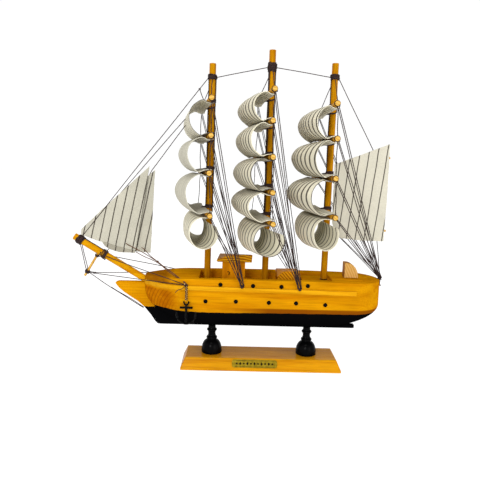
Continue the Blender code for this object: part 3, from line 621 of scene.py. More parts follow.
def half_beam(x, z):
    bow, stern = stem_x(z), stern_x(z)
    if x <= bow or x >= stern:
        return 0.0
    below = max(0.0, (CHINE_Z - z) / (CHINE_Z - BOTTOM_Z))
    hard = 0.05 + 0.22 * min(1.0, max(0.0, (x + 60 * MM) / (50 * MM)))
    bottom = 7.0 / 27.4
    beam = HALF_BEAM * (1 - hard * below - (1 - bottom - hard) * below ** 3.2)
    width = beam
    entry = (x - bow) / (44 * MM)
    if entry < 1:
        width = min(min(4.0 * MM, beam) * (1 - entry) + beam * (1 - (1 - entry) ** 1.9), beam)
    run = (x - (stern - 28 * MM)) / (28 * MM)
    if run > 0:
        width = min(width, beam * sqrt(max(0.0, 1 - run * run)))
    return width


def waterline(z, stations=84):
    bow, stern = stem_x(z), stern_x(z)
    side = []
    for i in range(stations):
        x = bow + (stern - bow) * (1 - cos(pi * i / (stations - 1))) / 2
        if i == 0:
            side.append((bow, min(4.0 * MM, half_beam(bow + 0.01 * MM, z))))
        else:
            side.append((x, half_beam(x, z) if i < stations - 1 else 0.0))
    return side + [(x, -y) for x, y in reversed(side[:-1])]


def sign_of(number):
    return 1 if number > 0 else -1


def hull_rings():
    """Level outlines of the hull from the bottom up, then three that ease the gunwale."""
    heights = [0.0, 0.3, 0.8, 1.6, 2.6, 4, 5.6, 7.5, 9.6, 12, 14.5, 17, 19.5, 21.6, 23, 23.9, 25.2, 27.5,
               31, 35, 39, 43, 47, 50]
    levels = [BOTTOM_Z + height * MM for height in heights]
    rings = [[(x, y, z) for x, y in waterline(z)] for z in levels]
    ease = 0.45 * MM
    for drop, in_x, in_y in ((1, 0, 0), (0.3, 0.3, 0.35), (0, 1, 1)):
        rim = [(x - ease * in_x * sign_of(x), y - (ease * in_y * sign_of(y) if y else 0))
               for x, y in waterline(DECK_Z)]
        rings.append([(x, y, deck_height(x) - ease * drop) for x, y in rim])
    return rings


def box_mesh(name, low, high):
    bm = bmesh.new()
    bmesh.ops.create_cube(bm, size=1, matrix=Matrix.Translation((low + high) / 2)
                          @ Matrix.Diagonal((*(high - low), 1)))
    return finished(bm, name)


def make_hull(paint):
    bm = bmesh.new()
    rows = [[bm.verts.new(p) for p in outline] for outline in hull_rings()]
    count = len(rows[0])
    for row, after in zip(rows, rows[1:]):
        for i in range(count):
            j = (i + 1) % count
            bm.faces.new((row[i], row[j], after[j], after[i]))
    bm.faces.new(rows[0])
    # the deck is cut into strips so that its sheer stays smooth
    last = rows[-1]
    for i in range((count - 1) // 2):
        strip = [last[i], last[i + 1], last[count - 1 - i], last[(count - i) % count]]
        strip = list(dict.fromkeys(strip))
        if len(strip) > 2:
            bm.faces.new(strip)
    bmesh.ops.recalc_face_normals(bm, faces=bm.faces)
    mesh = finished(bm, "hull_wood")
    mesh.shade_smooth()
    mesh.set_sharp_from_angle(angle=radians(38))
    mesh.materials.append(paint)
    hull = place("hull_block", mesh, "ship", "hull_wood", ["hull"])
    for name, x0, x1, floor in (("deep", -64, 40, 86.7), ("shallow", 39, 68, 92.1)):
        block = box_mesh(f"well_{name}", mm(x0, -20.5, floor), mm(x1, 20.5, 105))
        cutter = show(bpy.data.objects.new(f"well_{name}", block))
        cutter.hide_render = cutter.hide_viewport = True
        cut = hull.modifiers.new(f"Well {name}", "BOOLEAN")
        cut.object = cutter
        cut.operation = "DIFFERENCE"
        cut.solver = "EXACT"


def side_frame(x, z, sign):
    """A point on the hull's side and the outward direction there."""
    step = 0.5 * MM
    slope_x = (half_beam(x + step, z) - half_beam(x - step, z)) / (2 * step)
    slope_z = (half_beam(x, z + step) - half_beam(x, z - step)) / (2 * step)
    out = Vector((-slope_x, 1, -slope_z)).normalized()
    return Vector((x, sign * half_beam(x, z), z)), mirrored(out, sign)


def make_hull_fittings(black, brass):
    dome = in_mm([(0.2, 1.55), (0.9, 1.42), (1.5, 1.12), (1.9, 0.66), (2.05, 0.2), (2.1, -0.3)])
    holes = ((-42.4, 90.5), (-10.8, 90.0), (16.8, 89.8), (42.4, 91.3),
             (-56.6, 73.5), (-27.1, 74.0), (5.1, 73.6), (31.7, 73.6), (60.3, 72.6))
    ports = Piece()
    for sign in SIDES.values():
        for x, z in holes:
            point, out = side_frame(x * MM, z * MM, sign)
            turned(ports, dome, point, out, 20)
    ports.make("portholes", "ship", [black], "stand_posts", angle=60)

    pins = Piece()
    nail = in_mm([(0.15, 2.1), (0.75, 2.0), (0.85, 1.75), (0.8, 1.5), (0.38, 1.42), (0.36, -1.5)])
    for sign in SIDES.values():
        for x, z in ((-76.8, 89.8), (-21.5, 89.0), (34.2, 87.8)):
            point, out = side_frame(x * MM, z * MM, sign)
            turned(pins, nail, point, out + Vector((0, 0, 0.25)), 12)
    turned(pins, nail, (STERN_X - 0.4 * MM, 0, 93.9 * MM), (1, 0, 0.3), 12)
    turned(pins, nail, (STERN_X - 0.4 * MM, -1.5 * MM, 87.6 * MM), (1, -0.1, 0.2), 12)
    pins.make("brass_pins", "ship", [brass], "chain_brass", angle=50)


def batten(side, sign, mat):
    """A hull batten rebuilt finely enough to bend smoothly, where its CAD solid lies."""
    low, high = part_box(f"wale_{side}")
    section = [(0.2, -2.2), (1.45, -2.2), (1.7, -1.9), (1.72, 1.9), (1.45, 2.2), (0.2, 2.2)]
    stations, step = 90, 0.5 * MM
    rows = []
    for i in range(stations):
        x = low.x + (high.x - low.x) * (i / (stations - 1)) ** 1.25
        z = 85.7 * MM - 0.012 * x
        slope = (half_beam(x + step, z) - half_beam(x - step, z)) / (2 * step)
        out = Vector((-slope, 1, 0)).normalized()
        foot = Vector((x, half_beam(x, z), z))
        rows.append([mirrored(foot + out * a * MM + mm(0, 0, b), sign) for a, b in section])
    piece = Piece()
    piece.grid(rows, [[(k / 6, i) for k in range(6)] for i in range(stations)], wrap=True, caps=True)
    piece.make(f"batten_{side}", "ship", [mat], "wale_wood", [f"wale_{side}"], angle=35)


# ---------------------------------------------------------------- stand, posts, plate

def bulge(middle, height, wide, tall, angles):
    """Part of a turned profile: a round moulding."""
    return [(middle + wide * cos(radians(a)), height + tall * sin(radians(a))) for a in angles]


def make_posts(black):
    bell, bead = 10.5, range(-75, 76, 15)
    for end in ("fore", "aft"):
        low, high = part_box(f"stand_post_{end}")
        profile = [(bell - 0.7, 0), (bell - 0.15, 0.25), (bell, 0.9), (bell - 0.1, 1.8)]
        profile += bulge(4.5, 2.1, bell - 4.5, 11.3, range(6, 80, 5))
        profile += [(5.0, 13.55), (4.55, 13.75), (4.55, 14.1)]
        profile += bulge(4.1, 15.7, 1.5, 1.6, bead)
        profile += [(4.25, 17.6), (3.85, 19.2), (3.75, 20.6), (4.0, 22.0), (4.25, 22.6)]
        profile += bulge(3.95, 24.1, 1.25, 1.3, bead)
        profile += [(3.9, 25.9), (3.8, 27.2), (3.75, (high.z - low.z) / MM)]
        post = Piece()
        turned(post, in_mm(profile), ((low.x + high.x) / 2, 0, low.z), (0, 0, 1), 48)
        post.make(f"post_{end}", "ship", [black], "stand_posts", [f"stand_post_{end}"], angle=50)


def make_plate_ornament(ink_paint):
    """A border line and a row of plain lozenges on the plate."""
    low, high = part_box("nameplate")
    slope = atan2(10.2, 4.4)
    up, out = Vector((0, cos(slope), sin(slope))), Vector((0, -sin(slope), cos(slope)))
    centre = (low + high) / 2 + out * 0.22 * MM
    ink = Piece()

    def stamp(outline):
        base, count = len(ink.points), len(outline)
        front = [centre + mm(a, 0, 0) + up * b * MM + out * 0.10 * MM for a, b in outline]
        ink.points += [tuple(p) for p in front] + [tuple(p - out * 0.16 * MM) for p in front]
        ink.face([base + k for k in range(count)], [(0, 0)] * count)
        for k in range(count):
            m = (k + 1) % count
            ink.face([base + k, base + k + count, base + m + count, base + m], [(0, 0)] * 4)

    for i in range(-5, 6):
        a, tall = i * 3.6, 1.05 if i % 2 else 1.75
        stamp([(a - 1.15, 0), (a, -tall), (a + 1.15, 0), (a, tall)])
    for b in (-2.95, 2.95):
        stamp([(-19.5, b - 0.13), (19.5, b - 0.13), (19.5, b + 0.13), (-19.5, b + 0.13)])
    ink.make("plate_ornament", "ship", [ink_paint], "name_plate", smooth=False)


# ---------------------------------------------------------------- spars

SPRIT_TIP, SPRIT_ROOT = mm(-190.9, 0, 130.4), mm(-118.0, 0, 87.1)
SPRIT_RADIUS = 3.45 * MM
SPRIT_WAY = (SPRIT_ROOT - SPRIT_TIP).normalized()
UP = Vector((-SPRIT_WAY.z, 0, SPRIT_WAY.x))         # square to the bowsprit, upwards
STRIKER_FOOT = mm(-181.2, 0, 90.0)
GAFF = (mm(67.6, 0, 204.0), mm(122.0, 0, 216.6))
BOOM = (mm(67.8, 0, 142.4), mm(122.6, 0, 143.9))


def dowel(piece, start, end, radius, ease, steps):
    length = (end - start).length
    profile = [(radius - ease, 0), (radius - ease * 0.3, ease * 0.3), (radius, ease),
               (radius, length - ease), (radius - ease * 0.3, length - ease * 0.3), (radius - ease, length)]
    turned(piece, profile, start, end - start, steps)


def make_rod(name, node, paint, slot, start, end, radius, ease, steps=36):
    """A straight spar in the place of one CAD solid."""
    piece = Piece()
    dowel(piece, start, end, radius, ease * MM, steps)
    piece.make(name, "ship", [paint], slot, [node], angle=40)


def make_bowsprit(paint):
    """It is sawn upright where it meets the bow."""
    low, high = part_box("bowsprit")
    round_sprit = ring(Vector((0, 1, 0)), UP, 36)
    rows = [[SPRIT_TIP + SPRIT_WAY * t * MM + SPRIT_RADIUS * size * way for way in round_sprit]
            for size, t in ((0.91, 0), (0.97, 0.25), (1.0, 0.6))]
    heel, sawn = [], []
    for p in rows[-1]:
        to_face, to_beak = (high.x - p.x) / SPRIT_WAY.x, (low.z - p.z) / SPRIT_WAY.z
        heel.append(p + SPRIT_WAY * (min(to_face, to_beak) - 0.05 * MM))
        sawn.append(Vector((high.x, p.y, max(low.z, (p + SPRIT_WAY * to_face).z))))
    piece = Piece()
    uvs = [[(k / 36, i) for k in range(36)] for i in range(5)]
    piece.grid(rows + [heel, sawn], uvs, wrap=True, caps=True)
    piece.make("sprit", "ship", [paint], "mast_wood", ["bowsprit"], angle=40)


def make_spars(mast_wood, yard_wood, sprit_wood):
    for mast, (radius, foot, top) in MASTS.items():
        make_rod(f"mast_{mast}", f"{mast}_mast", mast_wood, "mast_wood", foot, top, radius, 0.35)
    for mast, yards in YARDS.items():
        for i, (radius, port, starboard) in enumerate(yards, start=1):
            make_rod(f"yard_{mast}_{i}", f"{mast}_yard_{i}", yard_wood, "yard_wood", port, starboard,
                     radius, 0.45)
    make_bowsprit(sprit_wood)
    make_rod("striker", "dolphin_striker", yard_wood, "mast_wood", STRIKER_FOOT,
             STRIKER_FOOT + UP * 26.0 * MM, 1.2 * MM, 0.15, 20)
    for name, (start, end) in (("gaff", GAFF), ("boom", BOOM)):
        make_rod(f"spar_{name}", name, yard_wood, "mast_wood", start, end, 1.1 * MM, 0.12, 20)


# ---------------------------------------------------------------- square sails

BULGES = {
    "fore": ((19.0, 18.5), (25.0, 19.0), (28.5, 20.0)),
    "main": ((25.6, 16.0), (26.2, 17.5), (28.2, 18.0), (28.8, 19.5)),
    "mizzen": ((26.4, 15.5), (32.0, 16.5), (34.6, 19.5)),
}
LOOPS = {"fore": (21.0, 25.5, 9.0), "main": (23.2, 28.6, 13.8), "mizzen": (26.0, 23.0, 6.0)}
LOOP_DROP = 30.5 * MM
HALF_SAIL, HALF_LOOP, CLOTH, RIPPLE = 50 * MM, 47.5 * MM, 0.55 * MM, 0.45 * MM
ACROSS, ALONG = 57, 61                  # points of a sail's net


def sail_section(mast, index, side):
    y = side * HALF_SAIL
    radius = YARDS[mast][index][0]
    yards = yard_point(mast, index, y), yard_point(mast, index + 1, y)
    upper, lower = (Vector((p.x, p.z)) for p in yards)
    middle_bulge, edge_bulge = BULGES[mast][index]
    bulge = (middle_bulge + (edge_bulge - middle_bulge) * side ** 2) * MM
    clear = radius + GAP + 0.4 * MM
    tail = (1.2 + 2.0 * side ** 2) * MM
    height = upper.y - lower.y
    front = min(upper.x, lower.x) - bulge
    points = [upper + Vector((tail, -clear)), upper + Vector((-0.10 * bulge, -clear * 0.98)),
              Vector((upper.x - 0.42 * bulge, upper.y - 0.04 * height)),
              Vector((front + 0.18 * bulge, upper.y - 0.20 * height)),
              Vector((front, upper.y - 0.47 * height)),
              Vector((front + 0.14 * bulge, lower.y + 0.23 * height)),
              Vector((lower.x - 0.50 * bulge, lower.y + 0.03 * height)),
              Vector((lower.x - 0.16 * bulge - 1.2 * MM, lower.y + clear * 0.72)),
              lower + Vector((0, clear)), lower + Vector((tail, clear))]
    return [Vector((p.x, y, p.y)) for p in smooth_path(points, ALONG)]


def loop_section(mast, side):
    index = YARD_COUNT[mast] - 1
    y = side * HALF_LOOP
    upper = yard_point(mast, index, y)
    centre_x = yard_point(mast, index, 0).x
    upper = Vector((upper.x, upper.z))
    clear = YARDS[mast][index][0] + GAP + 0.4 * MM
    depth_middle, depth_side, sweep_aft = LOOPS[mast]
    depth = (depth_middle + (depth_side - depth_middle) * side ** 2) * MM
    mast_front = mast_point(mast, upper.y).x - MASTS[mast][0] - 1.0 * MM
    aft = mast_front - 0.4 * MM + sweep_aft * MM * side ** 2 + 0.8 * (upper.x - centre_x)
    centre = Vector((aft - depth / 2, upper.y - clear - LOOP_DROP / 2 + 1.2 * MM))
    rise = LOOP_DROP / 2 - 0.6 * MM * side ** 2
    tail = 0.6 * MM + max(0.0, min(2.0 * MM, (abs(y) - 8 * MM) / 10))
    points = [upper + Vector((tail, -clear)), upper + Vector((-1.8 * MM, -clear))]
    sweep = arc(centre.x, centre.y, depth / 2, rise, 105, 395 - 12 * side ** 2, 13)
    points += [Vector(p) for p in sweep if p[0] < upper.x - 4.5 * MM or p[1] < centre.y + 0.86 * rise]
    return [Vector((p.x, y, p.y)) for p in smooth_path(points, ALONG)]


def lengths_along(points):
    run = [0.0]
    for a, b in zip(points, points[1:]):
        run.append(run[-1] + (b - a).length)
    return run


def cloth_solid(name, columns, cloth, replaced, fibres, u_shift):
    """A thin sheet from columns of points, rippled a little, with loose threads along its cut edges."""
    count_u, count_v = len(columns), len(columns[0])
    seed = Vector((dice.random() * 9, dice.random() * 9, dice.random() * 9))
    us = lengths_along([column[count_v // 2] for column in columns])
    us = [u - us[-1] / 2 + u_shift for u in us]
    lengths = [lengths_along(column) for column in columns]

    def normal(i, j):
        across = columns[min(i + 1, count_u - 1)][j] - columns[max(i - 1, 0)][j]
        along = columns[i][min(j + 1, count_v - 1)] - columns[i][max(j - 1, 0)]
        return along.cross(across).normalized()

    rows_top, rows_low, uvs = [], [], []
    for i in range(count_u):
        top, low, uv = [], [], []
        for j in range(count_v):
            p, out = columns[i][j], normal(i, j)
            free = min(1.0, min(j, count_v - 1 - j) / (count_v - 1) * 12)
            soft = noise.noise(p * 38 + seed) * RIPPLE * 1.5 + noise.noise(p * 95 + seed) * RIPPLE * 0.6
            p = p + out * soft * free
            if i in (0, count_u - 1):
                ragged = noise.noise(Vector((j * 0.55, i * 3.0, seed.x))) * 0.35
                p += mm(0, ragged if i else -ragged, 0)
            top.append(p + out * CLOTH / 2)
            low.append(p - out * CLOTH / 2)
            uv.append((us[i], lengths[i][j]))
        rows_top.append(top)
        rows_low.append(low)
        uvs.append(uv)
    piece = Piece("cloth")
    piece.grid(rows_top, uvs)
    piece.grid(rows_low, uvs)
    size = count_u * count_v
    rim = ([(i, 0) for i in range(count_u)] + [(count_u - 1, j) for j in range(1, count_v)]
           + [(i, count_v - 1) for i in range(count_u - 2, -1, -1)]
           + [(0, j) for j in range(count_v - 2, 0, -1)])
    for (i, j), (k, m) in zip(rim, rim[1:] + rim[:1]):
        piece.face([i * count_v + j, k * count_v + m, size + k * count_v + m, size + i * count_v + j],
                   [uvs[i][j], uvs[k][m], uvs[k][m], uvs[i][j]])
    flat = (us[-1] - us[0], sum(run[-1] for run in lengths) / count_u)
    obj = piece.make(name, "ship", [cloth], "square_sails", [replaced], angle=50)
    # loose threads at the raw edges
    for i, side in ((0, -1), (count_u - 1, 1)):
        for j in range(1, count_v - 1):
            for attempt in range(2):
                if dice.random() > 0.62:
                    continue
                p = rows_top[i][j].lerp(rows_low[i][j], dice.random())
                p = p.lerp(rows_top[i][j + 1], dice.random())
                long = (0.4 + 1.3 * dice.random() ** 3) * MM
                drift = Vector((dice.uniform(-0.5, 0.5), side, dice.uniform(-0.6, 0.5)))
                tip = p + drift * long
                mid = p.lerp(tip, 0.5) + Vector((dice.uniform(-1, 1), 0, dice.uniform(-1, 1))) * long * 0.25
                tube(fibres, [p - mm(0, side * 0.2, 0), mid, tip], FIBRE, 3, taper=0.6)
    return obj, flat


SAIL_CLOTH = {"fore": ("medium", "faint", "faint", "loop"),
              "main": ("wide", "medium", "dense", "dense", "loop"),
              "mizzen": ("medium", "wide", "wide", "loop")}


def make_square_sails(cloths, fibres):
    sides = [-1 + 2 * i / (ACROSS - 1) for i in range(ACROSS)]
    for mast, count in YARD_COUNT.items():
        for i in range(count):
            last = i == count - 1
            columns = [loop_section(mast, s) if last else sail_section(mast, i, s) for s in sides]
            name = f"{mast}_sail_{i + 1}"
            obj, flat = cloth_solid(f"cloth_{name}", columns, cloths[SAIL_CLOTH[mast][i]], name,
                                    fibres, dice.uniform(-3, 3) * MM)


# ---------------------------------------------------------------- fore-and-aft sails

OUTER_JIB = ((-115.4, 202.0), (-162.7, 157.9), (-183.2, 138.0), (-183.6, 132.4), (-169.0, 127.2),
             (-162.8, 125.4), (-160.4, 121.4), (-156.0, 118.6), (-146.0, 115.6), (-130.0, 115.2),
             (-121.5, 165.0))
INNER_JIB = ((-110.3, 198.5), (-131.1, 180.3), (-152.4, 159.1), (-180.0, 134.2), (-165.0, 127.6),
             (-158.0, 122.5), (-152.0, 119.6), (-146.0, 117.0), (-114.8, 115.0))
SPANKER = ((66.9, 208.8), (94.0, 219.3), (120.4, 230.0), (120.9, 182.0), (120.5, 133.3), (98.0, 133.6),
           (77.5, 135.4), (70.5, 141.0), (67.3, 152.0))
JIB_HEM = ((-161.4, 123.2), (-156.0, 118.5), (-146.0, 115.4), (-130.2, 115.0), (-129.6, 117.6),
           (-139.0, 119.4), (-150.0, 122.2), (-161.6, 126.2))


def polygon_area(outline):
    total = 0.0
    for (x0, z0), (x1, z1) in zip(outline, outline[1:] + outline[:1]):
        total += x0 * z1 - x1 * z0
    return abs(total) / 2 * MM * MM


def flat_cloth(name, outline, y, cloth, slot_name, fibres, replaced=(), belly=0.0, thick=0.5 * MM, lean=0.0,
               fray=0.35, pattern=(0.0, 0.0)):
    """A sail cut to an outline and cross-cut finely, so that it can belly and ripple.

    pattern is the x, z that the stripes are counted from.
    """
    centre = mm(sum(p[0] for p in outline), 0, sum(p[1] for p in outline)) / len(outline)
    low = mm(min(p[0] for p in outline), 0, min(p[1] for p in outline))
    high = mm(max(p[0] for p in outline), 0, max(p[1] for p in outline))
    bm = bmesh.new()
    bm.faces.new([bm.verts.new((a * MM, 0, b * MM)) for a, b in outline])
    step = 2.5 * MM
    for axis, start, stop in ((Vector((1, 0, 0)), low.x, high.x), (Vector((0, 0, 1)), low.z, high.z)):
        at = start + step * 0.7
        while at < stop:
            bmesh.ops.bisect_plane(bm, geom=bm.verts[:] + bm.edges[:] + bm.faces[:], plane_co=axis * at,
                                   plane_no=axis, dist=1e-6)
            at += step
    seed = Vector((dice.random() * 9,) * 3)
    rim = {v for e in bm.edges if e.is_boundary for v in e.verts}
    layer = bm.loops.layers.uv.new("cloth")
    for face in bm.faces:
        for loop in face.loops:
            loop[layer].uv = (loop.vert.co.x - pattern[0] * MM, loop.vert.co.z - pattern[1] * MM)
    reach = (high - low).length / 2
    for vert in bm.verts:
        p = vert.co.copy()
        inward = max(0.0, 1 - (p - centre).length / reach)
        vert.co.y = (y + belly * inward + noise.noise(p * 28 + seed) * 0.9 * MM * min(1, inward * 4 + 0.25)
                     + noise.noise(p * 90 + seed) * 0.25 * MM + lean * (p.z - centre.z))
        if vert in rim:
            vert.co += Vector((noise.noise(p * 700 + seed), 0, noise.noise(p * 700 - seed))) * 0.22 * MM
    edges = [(e.verts[0].co.copy(), e.verts[1].co.copy()) for e in bm.edges if e.is_boundary]
    bmesh.ops.solidify(bm, geom=bm.faces[:], thickness=thick)
    bmesh.ops.recalc_face_normals(bm, faces=bm.faces)
    mesh = finished(bm, name)
    mesh.shade_smooth()
    mesh.set_sharp_from_angle(angle=radians(50))
    mesh.materials.append(cloth)
    obj = place(name, mesh, "ship", slot_name, replaced)
    for a, b in edges:
        if dice.random() > fray:
            continue
        p = a.lerp(b, dice.random())
        out = p - centre
        out.y = 0
        out.normalize()
        long = (0.4 + 1.1 * dice.random() ** 3) * MM
        drift = Vector((dice.uniform(-0.5, 0.5), dice.uniform(-0.3, 0.3), dice.uniform(-0.5, 0.5)))
        tip = p + (out + drift) * long
        tube(fibres, [p - out * 0.2 * MM, p.lerp(tip, 0.6), tip], FIBRE, 3, taper=0.6)
    size = high - low
    return obj, (size.x, size.z), polygon_area(outline)


def make_fore_and_aft_sails(jib_cloth, hem_shaded_cloth, spanker_cloth, fibres):
    jobs = (("cloth_jib_outer", OUTER_JIB, -1.4, jib_cloth, "jib_outer", -0.6, ["sprit"], (-180.7, 115.2)),
            ("cloth_jib_inner", INNER_JIB, 1.2, jib_cloth, "jib_inner", 0.5, ["sprit"], (-177.3, 115.0)),
            ("cloth_spanker", SPANKER, -1.75, spanker_cloth, "spanker", -0.8, ["spar_gaff", "spar_boom"],
             (69.0, 133.3)))
    for name, outline, y, cloth, node, belly, rests, pattern in jobs:
        obj, flat, area = flat_cloth(name, outline, y * MM, cloth, "fore_and_aft_sails", fibres, [node],
                                     belly=belly * MM, pattern=pattern)
        if node == "jib_outer":
            # the hem's cloth carries painted shade for its fold
            hem, hem_flat, hem_area = flat_cloth("cloth_jib_hem", JIB_HEM, -2.0 * MM, hem_shaded_cloth,
                                                 "fore_and_aft_sails", fibres, belly=-0.3 * MM, fray=0.1,
                                                 pattern=(-180.2, 115.2))


# ---------------------------------------------------------------- rigging

TOP_LASHING = {"fore": (288.3, 4.8), "main": (299.3, 8.6), "mizzen": (291.6, 5.0)}
YARD_END = 57.4 * MM
BRACE_PIN = {"fore": mm(-21.5, 29.6, 89.6), "main": mm(34.2, 30.3, 88.4)}
STERN_PIN = mm(120.2, 0, 94.6)
SPRIT_REACH = 3.2 * MM + THREAD


def top_of(mast):
    return mast_point(mast, TOP_LASHING[mast][0] * MM)


def make_topmast_threads(black):
    piece = Piece()
    for mast, (z, wide) in TOP_LASHING.items():
        radius, spot = MASTS[mast][0], top_of(mast)
        winding(piece, spot, (0, 0, 1), radius, wide / 0.62, wide * MM)
        winding(piece, spot + mm(0, 0, 0.4), (0.12, 0.05, 1), radius + 0.5 * MM, wide / 1.5,
                wide * 0.7 * MM)
        knot(piece, spot + Vector((radius + 0.5 * MM, -1.0 * MM, -0.6 * MM)), 1.0)
    tip = SPRIT_TIP + SPRIT_WAY * 7.0 * MM
    winding(piece, tip, SPRIT_WAY, SPRIT_RADIUS, 10, 6.4 * MM)
    winding(piece, tip, SPRIT_WAY, SPRIT_RADIUS + 0.5 * MM, 6, 4.4 * MM)
    knot(piece, tip + UP * 4.3 * MM, 1.1)
    reach = MASTS["fore"][0] + 0.3 * MM
    fore, aft, side = Vector((-reach, 0, 0)), Vector((reach, 0, 0)), mm(0, 0.9, 0)
    foot = tip + UP * 3.6 * MM
    near = mm(0, -2.4, 0)
    thread(piece, foot + near, foot.lerp(top_of("fore") + fore, 0.45) + near * 0.9, top_of("fore") + fore)
    for a, b in (("fore", "main"), ("main", "mizzen")):
        thread(piece, top_of(a) + aft, top_of(b) + fore)
    thread(piece, top_of("mizzen") + aft, GAFF[0].lerp(GAFF[1], 0.77) + mm(0, 0, 1.4))
    # a short leg from the stay to the fore top yard, and the stays that end on the fore topsail
    stay_knot = foot.lerp(top_of("fore") + fore, 0.93)
    knot(piece, stay_knot, 0.9)
    yard = yard_point("fore", 0, 0)
    thread(piece, stay_knot, yard + mm(-1.2, 0.4, 2.6))
    sail_front = min(sail_section("fore", 0, 0), key=lambda p: p.x) + mm(-0.4, 0, 2)
    thread(piece, foot - side, sail_front, wave=0.3)
    # lifts from each masthead to the ends of its top yard
    for mast in MASTS:
        for sign in SIDES.values():
            end = yard_point(mast, 0, sign * YARD_END) + mm(0, 0, 2.5)
            thread(piece, top_of(mast) + mm(0, sign * 3.0, -1.5), end, wave=0.25)
    piece.make("threads_topmast", "ship", [black], "rigging_thread", ["topmast_stays"])


def make_bow_threads(black, brown):
    piece = Piece()
    collar = SPRIT_TIP + SPRIT_WAY * 34.5 * MM
    winding(piece, collar, SPRIT_WAY, SPRIT_RADIUS, 4.5, 6.5 * MM, loose=0.5)
    winding(piece, collar + SPRIT_WAY * 1.5 * MM, SPRIT_WAY, SPRIT_RADIUS + 0.3 * MM, 2, 1.0 * MM)
    knot(piece, collar - UP * 4.0 * MM, 1.0)
    thread(piece, SPRIT_TIP + SPRIT_WAY * 10 * MM + UP * 3.6 * MM, collar + UP * 3.6 * MM, wave=0.3)
    thread(piece, SPRIT_TIP + SPRIT_WAY * 10 * MM + UP * 3.4 * MM + mm(0, -1.2, 0),
           collar + UP * 3.4 * MM + mm(0, -0.8, 0), wave=0.4)
    striker = STRIKER_FOOT + UP * 5.2 * MM
    winding(piece, striker, UP, 1.2 * MM, 5, 3.6 * MM)
    winding(piece, striker, UP, 1.6 * MM, 3, 2.4 * MM)
    striker_top = STRIKER_FOOT + UP * 24.6 * MM
    winding(piece, striker_top, UP, 1.2 * MM, 3, 2.0 * MM)
    # from the bowsprit's tip down to the striker
    tip_low = SPRIT_TIP + SPRIT_WAY * 8.5 * MM - UP * 3.5 * MM
    thread(piece, tip_low, striker + mm(-1.2, 0.4, 1.2))
    thread(piece, tip_low + SPRIT_WAY * 2.2 * MM, striker + mm(1.0, -0.6, 1.2))
    # bobstay, doubled near the stem
    stem = mm(-121.6, 0, 57.6)
    mid = striker.lerp(stem, 0.42) + mm(0, 0, -0.8)
    thread(piece, striker + mm(1.2, 0, -0.8), mid, stem)
    thread(piece, mid + mm(0, 0.3, 0.4), stem + mm(0, 0.5, 0.6), wave=0.4)
    for side, sign in SIDES.items():
        pin = PIN[side] + mm(-0.6, -sign * 0.6, 0.6)
        for repeat in range(3):
            knot(piece, pin + mm(dice.uniform(-0.7, 0.7), 0, dice.uniform(-0.5, 0.9)), 1.1)
        gather = striker + mm(7.2, sign * 1.6, -1.4)
        thread(piece, striker + mm(0.6, sign * 1.4, 0), gather, pin)
        knot(piece, gather, 0.7)
        thread(piece, collar + mm(3.0, sign * 3.4, -1.8), pin, wave=0.3)
    # a loose end hanging from the port pin
    pin = PIN["port"]
    loose = smooth_path([pin + mm(-1.2, -1.6, -0.2), pin + mm(-4.5, -3.0, -2.3),
                         pin + mm(-7.8, -3.2, -3.4), pin + mm(-10.4, -3.3, -6.0)], 24)
    tube(piece, loose, THREAD * 0.9, 5, 0, 0.2)
    # the stay that the inner jib hangs from
    inner = collar + UP * 3.6 * MM
    front = min(sail_section("fore", 0, 0), key=lambda p: p.x) + mm(-0.4, 0, -4)
    thread(piece, inner, inner + mm(4.0, 2.6, 3.0), mm(-113.6, 2.6, 198.2),
           Vector((front.x, 2.0 * MM, front.z)), wave=0.1)
    # jib sheets, in a browner thread
    sheet_knot = mm(-106.9, -4.0, 107.2)
    for start in ((-138.9, -2.2, 124.5), (-123.2, -2.0, 121.0)):
        thread(piece, Vector(start) * MM, sheet_knot, slot=1, wave=0.5)
    thread(piece, mm(-129.0, -2.2, 116.2), sheet_knot + mm(2, -1.5, -2),
           PIN["port"] + mm(0, 0.4, 1.4), slot=1, wave=0.4)
    knot(piece, sheet_knot, 1.1, slot=1)
    thread(piece, sheet_knot, PIN["port"] + mm(0, 0.6, 1.8), slot=1, radius=THREAD * 1.25, wave=0.3)
    piece.make("threads_bow", "ship", [black, brown], "rigging_thread", ["bow_rigging"])


def gang(piece, mast, sign, pin):
    """Lashings at the yard ends on one side, the line that joins them, and braces to a pin."""
    count = YARD_COUNT[mast]
    ends = [yard_point(mast, i, sign * YARD_END) for i in range(count)]
    for i, end in enumerate(ends):
        radius = YARDS[mast][i][0]
        axis = YARDS[mast][i][2] - YARDS[mast][i][1]
        winding(piece, end, axis, radius, 3.2, 1.5 * MM, thread_radius=0.24 * MM)
        knot(piece, end + Vector((radius * 0.8, 0, -radius * 0.8)), 0.8)
    for upper, lower in zip(ends, ends[1:]):
        thread(piece, upper + mm(0.4, 0, -2.5), lower + mm(0.2, 0, 2.5), wave=0.35)
    for i, end in enumerate(ends):
        way = Vector((pin.x - end.x, 0, pin.z - end.z)).normalized()
        for spread in (-0.6, 0.6):
            start = end + way * 2.5 * MM + mm(spread, dice.uniform(-0.6, 0.6), 0)
            foot = pin + mm(dice.uniform(-0.8, 0.8) + 2.2 * spread, dice.uniform(-0.4, 0.4), 0.6)
            thread(piece, start, foot, wave=0.25)


def pin_knots(piece, pin, size=1.3):
    for repeat in range(4):
        knot(piece, pin + mm(dice.uniform(-0.8, 0.8), dice.uniform(-0.5, 0.5), dice.uniform(-0.9, 0.6)),
             size)


